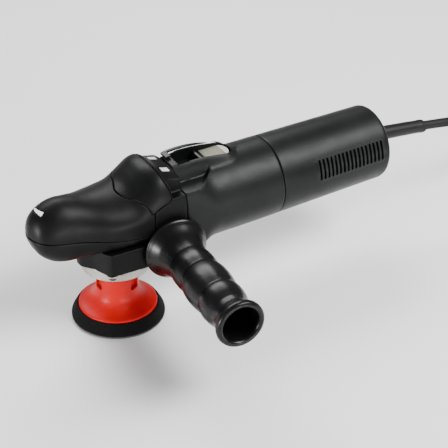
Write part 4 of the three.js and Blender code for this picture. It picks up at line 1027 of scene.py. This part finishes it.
def make_rear_housing():
    """Tube with a row of slots each side, as one even grid inside and out with the slots left open."""
    front, tail, turn_radius = SEAM_X + HALF_SEAM, TAIL_X, 5.5
    start_angle, end_angle = math.asin(VENTS["low"] / 32.3), math.asin(VENTS["high"] / 32.3)
    angles = spread(start_angle, end_angle, 0.045)
    slot_cells = len(angles) - 1
    angles += spread(end_angle, math.pi - end_angle, 0.06)[1:]
    angles += spread(math.pi - end_angle, math.pi - start_angle, 0.045)[1:]
    far_cells = range(len(angles) - 1 - slot_cells, len(angles) - 1)
    angles += spread(math.pi - start_angle, 2 * math.pi + start_angle, 0.06)[1:-1]
    holes = set(range(slot_cells)) | set(far_cells)

    outside = [(front, 32.2), (front + 0.15, 32.6), (front + 0.5, 32.92), (front + 1, 33.0)]
    outside += [(x, 33.0 - 0.5 * (x - front) / 40) for x in spread(142, 168, 5)]
    slots = []
    for i in range(VENTS["count"]):
        x = VENTS["from"] + i * VENTS["pitch"]
        slots.append(len(outside))
        outside += [(x, 32.55 - 0.85 * (x - 172) / 65), (x + VENTS["width"], 32.55 - 0.85 * (x - 170) / 65)]
    for i in range(13):
        a = i / 12 * math.pi / 2
        outside.append((tail - turn_radius * (1 - math.sin(a)), 31.7 - turn_radius * (1 - math.cos(a))))
    thickness = [2.9 if x < 232 else 2.9 + 0.6 * (x - 232) / 13 for x, r in outside]
    inside = [(min(x, tail - 3.2), max(r - t, 20.0)) for (x, r), t in zip(outside, thickness)]

    bm = bmesh.new()

    def ring(x, r):
        return [bm.verts.new((x, r * math.cos(a), MOTOR_Z + r * math.sin(a))) for a in angles]

    outer = [ring(x, r) for x, r in outside]
    inner = [ring(x, r) for x, r in inside]
    count = len(angles)
    for k in range(len(outside) - 1):
        for i in range(count):
            j = (i + 1) % count
            if k in slots and i in holes:
                # walls of the slot: its two long sides in every cell, its ends where the next cell is solid
                walls = [((k, i), (k, j)), ((k + 1, j), (k + 1, i))]
                if j % count not in holes:
                    walls.append(((k, j), (k + 1, j)))
                if (i - 1) % count not in holes:
                    walls.append(((k + 1, i), (k, i)))
                for (k0, i0), (k1, i1) in walls:
                    bm.faces.new((outer[k0][i0], outer[k1][i1], inner[k1][i1], inner[k0][i0]))
                continue
            bm.faces.new((outer[k][i], outer[k][j], outer[k + 1][j], outer[k + 1][i]))
            bm.faces.new((inner[k][j], inner[k][i], inner[k + 1][i], inner[k + 1][j]))
    for i in range(count):
        j = (i + 1) % count
        bm.faces.new((outer[0][j], outer[0][i], inner[0][i], inner[0][j]))
    bm.faces.new(outer[-1])
    bm.faces.new(inner[-1][::-1])
    bmesh.ops.triangulate(bm, faces=[f for f in bm.faces if len(f.verts) > 4])
    made = to_object(bm)
    boot_hole = disk_x(6.9, 235, 250, BOOT_Z, 48)
    half = DIAL_SLOT_HALF
    dial_hole = block(235, 250, -half, half, DIAL_Z - 8.6, DIAL_Z + 8.6)
    dial_room = block(230, 242.2, -half, half, DIAL_Z - 9.6, DIAL_Z + 9.6)
    cut(made, boot_hole, dial_hole, dial_room)
    bevel = made.modifiers.new("edges", "BEVEL")
    bevel.width = 0.3
    bevel.segments = 2
    bevel.limit_method = "ANGLE"
    bevel.angle_limit = math.radians(50)
    bevel.use_clamp_overlap = True
    evaluated(made)
    finish_piece(made, "barrel_rear", "grained_black", "rear_housing", sharp=35)


# ---------- switch ----------
GUARD_FRONT_X, GUARD_BACK_X, GUARD_INNER_Y = 47.9, 108, 2
RIB_COUNT, RIB_START_X, RIB_PITCH, PAD_TOP_Z = 9, 81.9, 1.85, 121.3


def make_guard():
    """Gloss rail on the far side of the pocket, lying on the hump's arch."""
    front, back = GUARD_FRONT_X, GUARD_BACK_X
    ring = prism(rounded(track_plan(11.4, front, back), 1.6, 4, closed=True), 110, 140, "z")
    inner = rounded(track_plan(8.6, 52.6, 105.2), 1.2, 4, closed=True)
    ring = cut(ring, prism(inner, 100, 150, "z"))
    under = [(x, hump_line(x) + GAP) for x in spread(front, back, 2)]
    crest = [(106, 119.9), (101, 121.6), (96, 123.4), (90, 124.9), (84, 126.2), (76.6, 127.8), (66, 128.9),
             (56, 128.9), (50, 128.3), (front, 127.9)]
    ring = meet(ring, prism(under + resampled(crest), GUARD_INNER_Y, 20, "y"))
    finish_piece(soften(ring, 0.3, 4), "guard_rails", "gloss_black", "switch_guard")


def make_thumb_pad():
    """Cream pad with grooves across it and a rounded tail."""
    groove = ((-0.95, 0.05), (-0.72, 0), (-0.56, 0.6), (-0.46, 1.3), (0.46, 1.3), (0.56, 0.6), (0.72, 0))
    outline = [(80.2, 118.9)]
    for i in range(RIB_COUNT):
        outline += [(RIB_START_X + i * RIB_PITCH + d, PAD_TOP_Z - depth) for d, depth in groove]
    outline += [(98, 121.3), (101, 121.1), (103, 120.7), (103.8, 120.2), (103.8, 118.9)]
    pad = prism(outline, -9, 9, "y")
    plan = rounded(track_plan(7.8, 80.4, 102.8), 0.8, 4, closed=True)
    pad = meet(pad, prism(plan, 118, 122, "z"))
    finish_piece(pad, "thumb_ribs", "cream_plastic", "switch_thumb_pad", "switch", sharp=40)


def make_slider():
    half = 7.7
    plate = prism(rounded(track_plan(half, 73.2, 104.2), 0.8, 3, closed=True), 116.7, 118.6, "z")
    side = [(73.4, 117), (77.8, 117), (77.4, 122.6), (76.4, 123.4), (74.4, 123.2), (73.4, 121.6)]
    bar = prism(rounded(side, 0.8, 4, closed=True), -half, half, "y")
    stem = block(84.5, 92, -1.9, 1.9, 114, 118)
    slider = join(plate, bar, stem)
    finish_piece(soften(slider, 0.25, 3), "slider_bar", "gloss_black", "switch_slider", "switch")


def make_dial():
    """Toothed speed wheel with a bore and a shallow recess in each face."""
    teeth, root, tip = 24, 8.5, 8.95
    outline = []
    for i in range(teeth):
        for share, r in ((0.1, root), (0.25, tip), (0.6, tip), (0.75, root)):
            a = 2 * math.pi * (i + share) / teeth
            outline.append((DIAL_X + r * math.cos(a), DIAL_Z + r * math.sin(a)))
    wheel = prism(outline, -2.5, 2.5, "y")
    hollows = ((1.6, -5, 5), (6.2, -3, -1.9), (6.2, 1.9, 3))
    wheel = cut(wheel, *[disk_y(radius, y0, y1, DIAL_X, DIAL_Z) for radius, y0, y1 in hollows])
    finish_piece(wheel, "dial_wheel", "gloss_black", "speed_dial", "dial", sharp=30)


# ---------- carried-over CAD nodes ----------
def dress_frame():
    """Every CAD node that still shows gets its slot's material and softly broken edges."""
    slots = {row["node"]: row["material_slot"] for row in frame["record"]["subparts"]}
    for name, node in frame["nodes"].items():
        if node.hide_render:
            continue
        if name in slots:
            node.data.materials.clear()
            node.data.materials.append(LOOKS[slots[name]])
        bevel = node.modifiers.new("broken_edges", "BEVEL")
        bevel.width = 0.2 * MM
        bevel.segments = 2
        bevel.limit_method = "ANGLE"
        bevel.angle_limit = math.radians(40)
        bevel.harden_normals = False


# ---------- floor and light ----------
LIT_POINT = (0.1, 0, 0.08)
# name, place, size and power of each soft light, in metres and watts
LIGHTS = [
    ("key", (-1.0, -0.1, 0.12), (0.22, 0.14), 13),
    ("top", (0.62, -0.62, 1.0), (0.8, 0.5), 30),
    ("front", (0.05, -1.0, 0.07), (0.7, 0.10), 6),
    ("back", (0.2, 1.0, 1.1), (1.2, 0.5), 22),
]
WORLD_STRENGTH = 0.28
FLOOR_SIZE, FLOOR_Z = 12, -0.0004


def area_light(name, place, size, power):
    data = bpy.data.lights.new(name, "AREA")
    data.shape = "RECTANGLE"
    data.size, data.size_y = size
    data.energy = power
    light = bpy.data.objects.new(name, data)
    light.location = place
    light.rotation_mode = "QUATERNION"
    light.rotation_quaternion = (Vector(LIT_POINT) - Vector(place)).to_track_quat("-Z", "Y")
    bpy.context.scene.collection.objects.link(light)


def make_studio():
    look = Surface("floor", (0.86, 0.86, 0.855), 0.6, specular=0.3)
    look.mottle((0.84, 0.84, 0.84), look.noise(3, 3), 0.3, 0.7)
    bpy.ops.mesh.primitive_plane_add(size=FLOOR_SIZE, location=(0, 0, FLOOR_Z))
    floor = bpy.context.object
    floor.name = "floor"
    floor.data.materials.append(look.material)

    world = bpy.data.worlds.new("studio")
    bpy.context.scene.world = world
    world.use_nodes = True
    background = world.node_tree.nodes["Background"]
    background.inputs["Color"].default_value = (1, 1, 1, 1)
    background.inputs["Strength"].default_value = WORLD_STRENGTH
    for name, place, size, power in LIGHTS:
        area_light(name, place, size, power)


make_camera()
lead = make_cord()
make_boot()
make_tie()
make_plug()
make_head()
make_gear_housing()
make_flange()
make_lock()
make_hook_face()
make_foam_pad()
make_plate()
make_handle()
make_motor_housing()
make_rear_housing()
make_guard()
make_thumb_pad()
make_slider()
make_dial()
dress_frame()
make_studio()
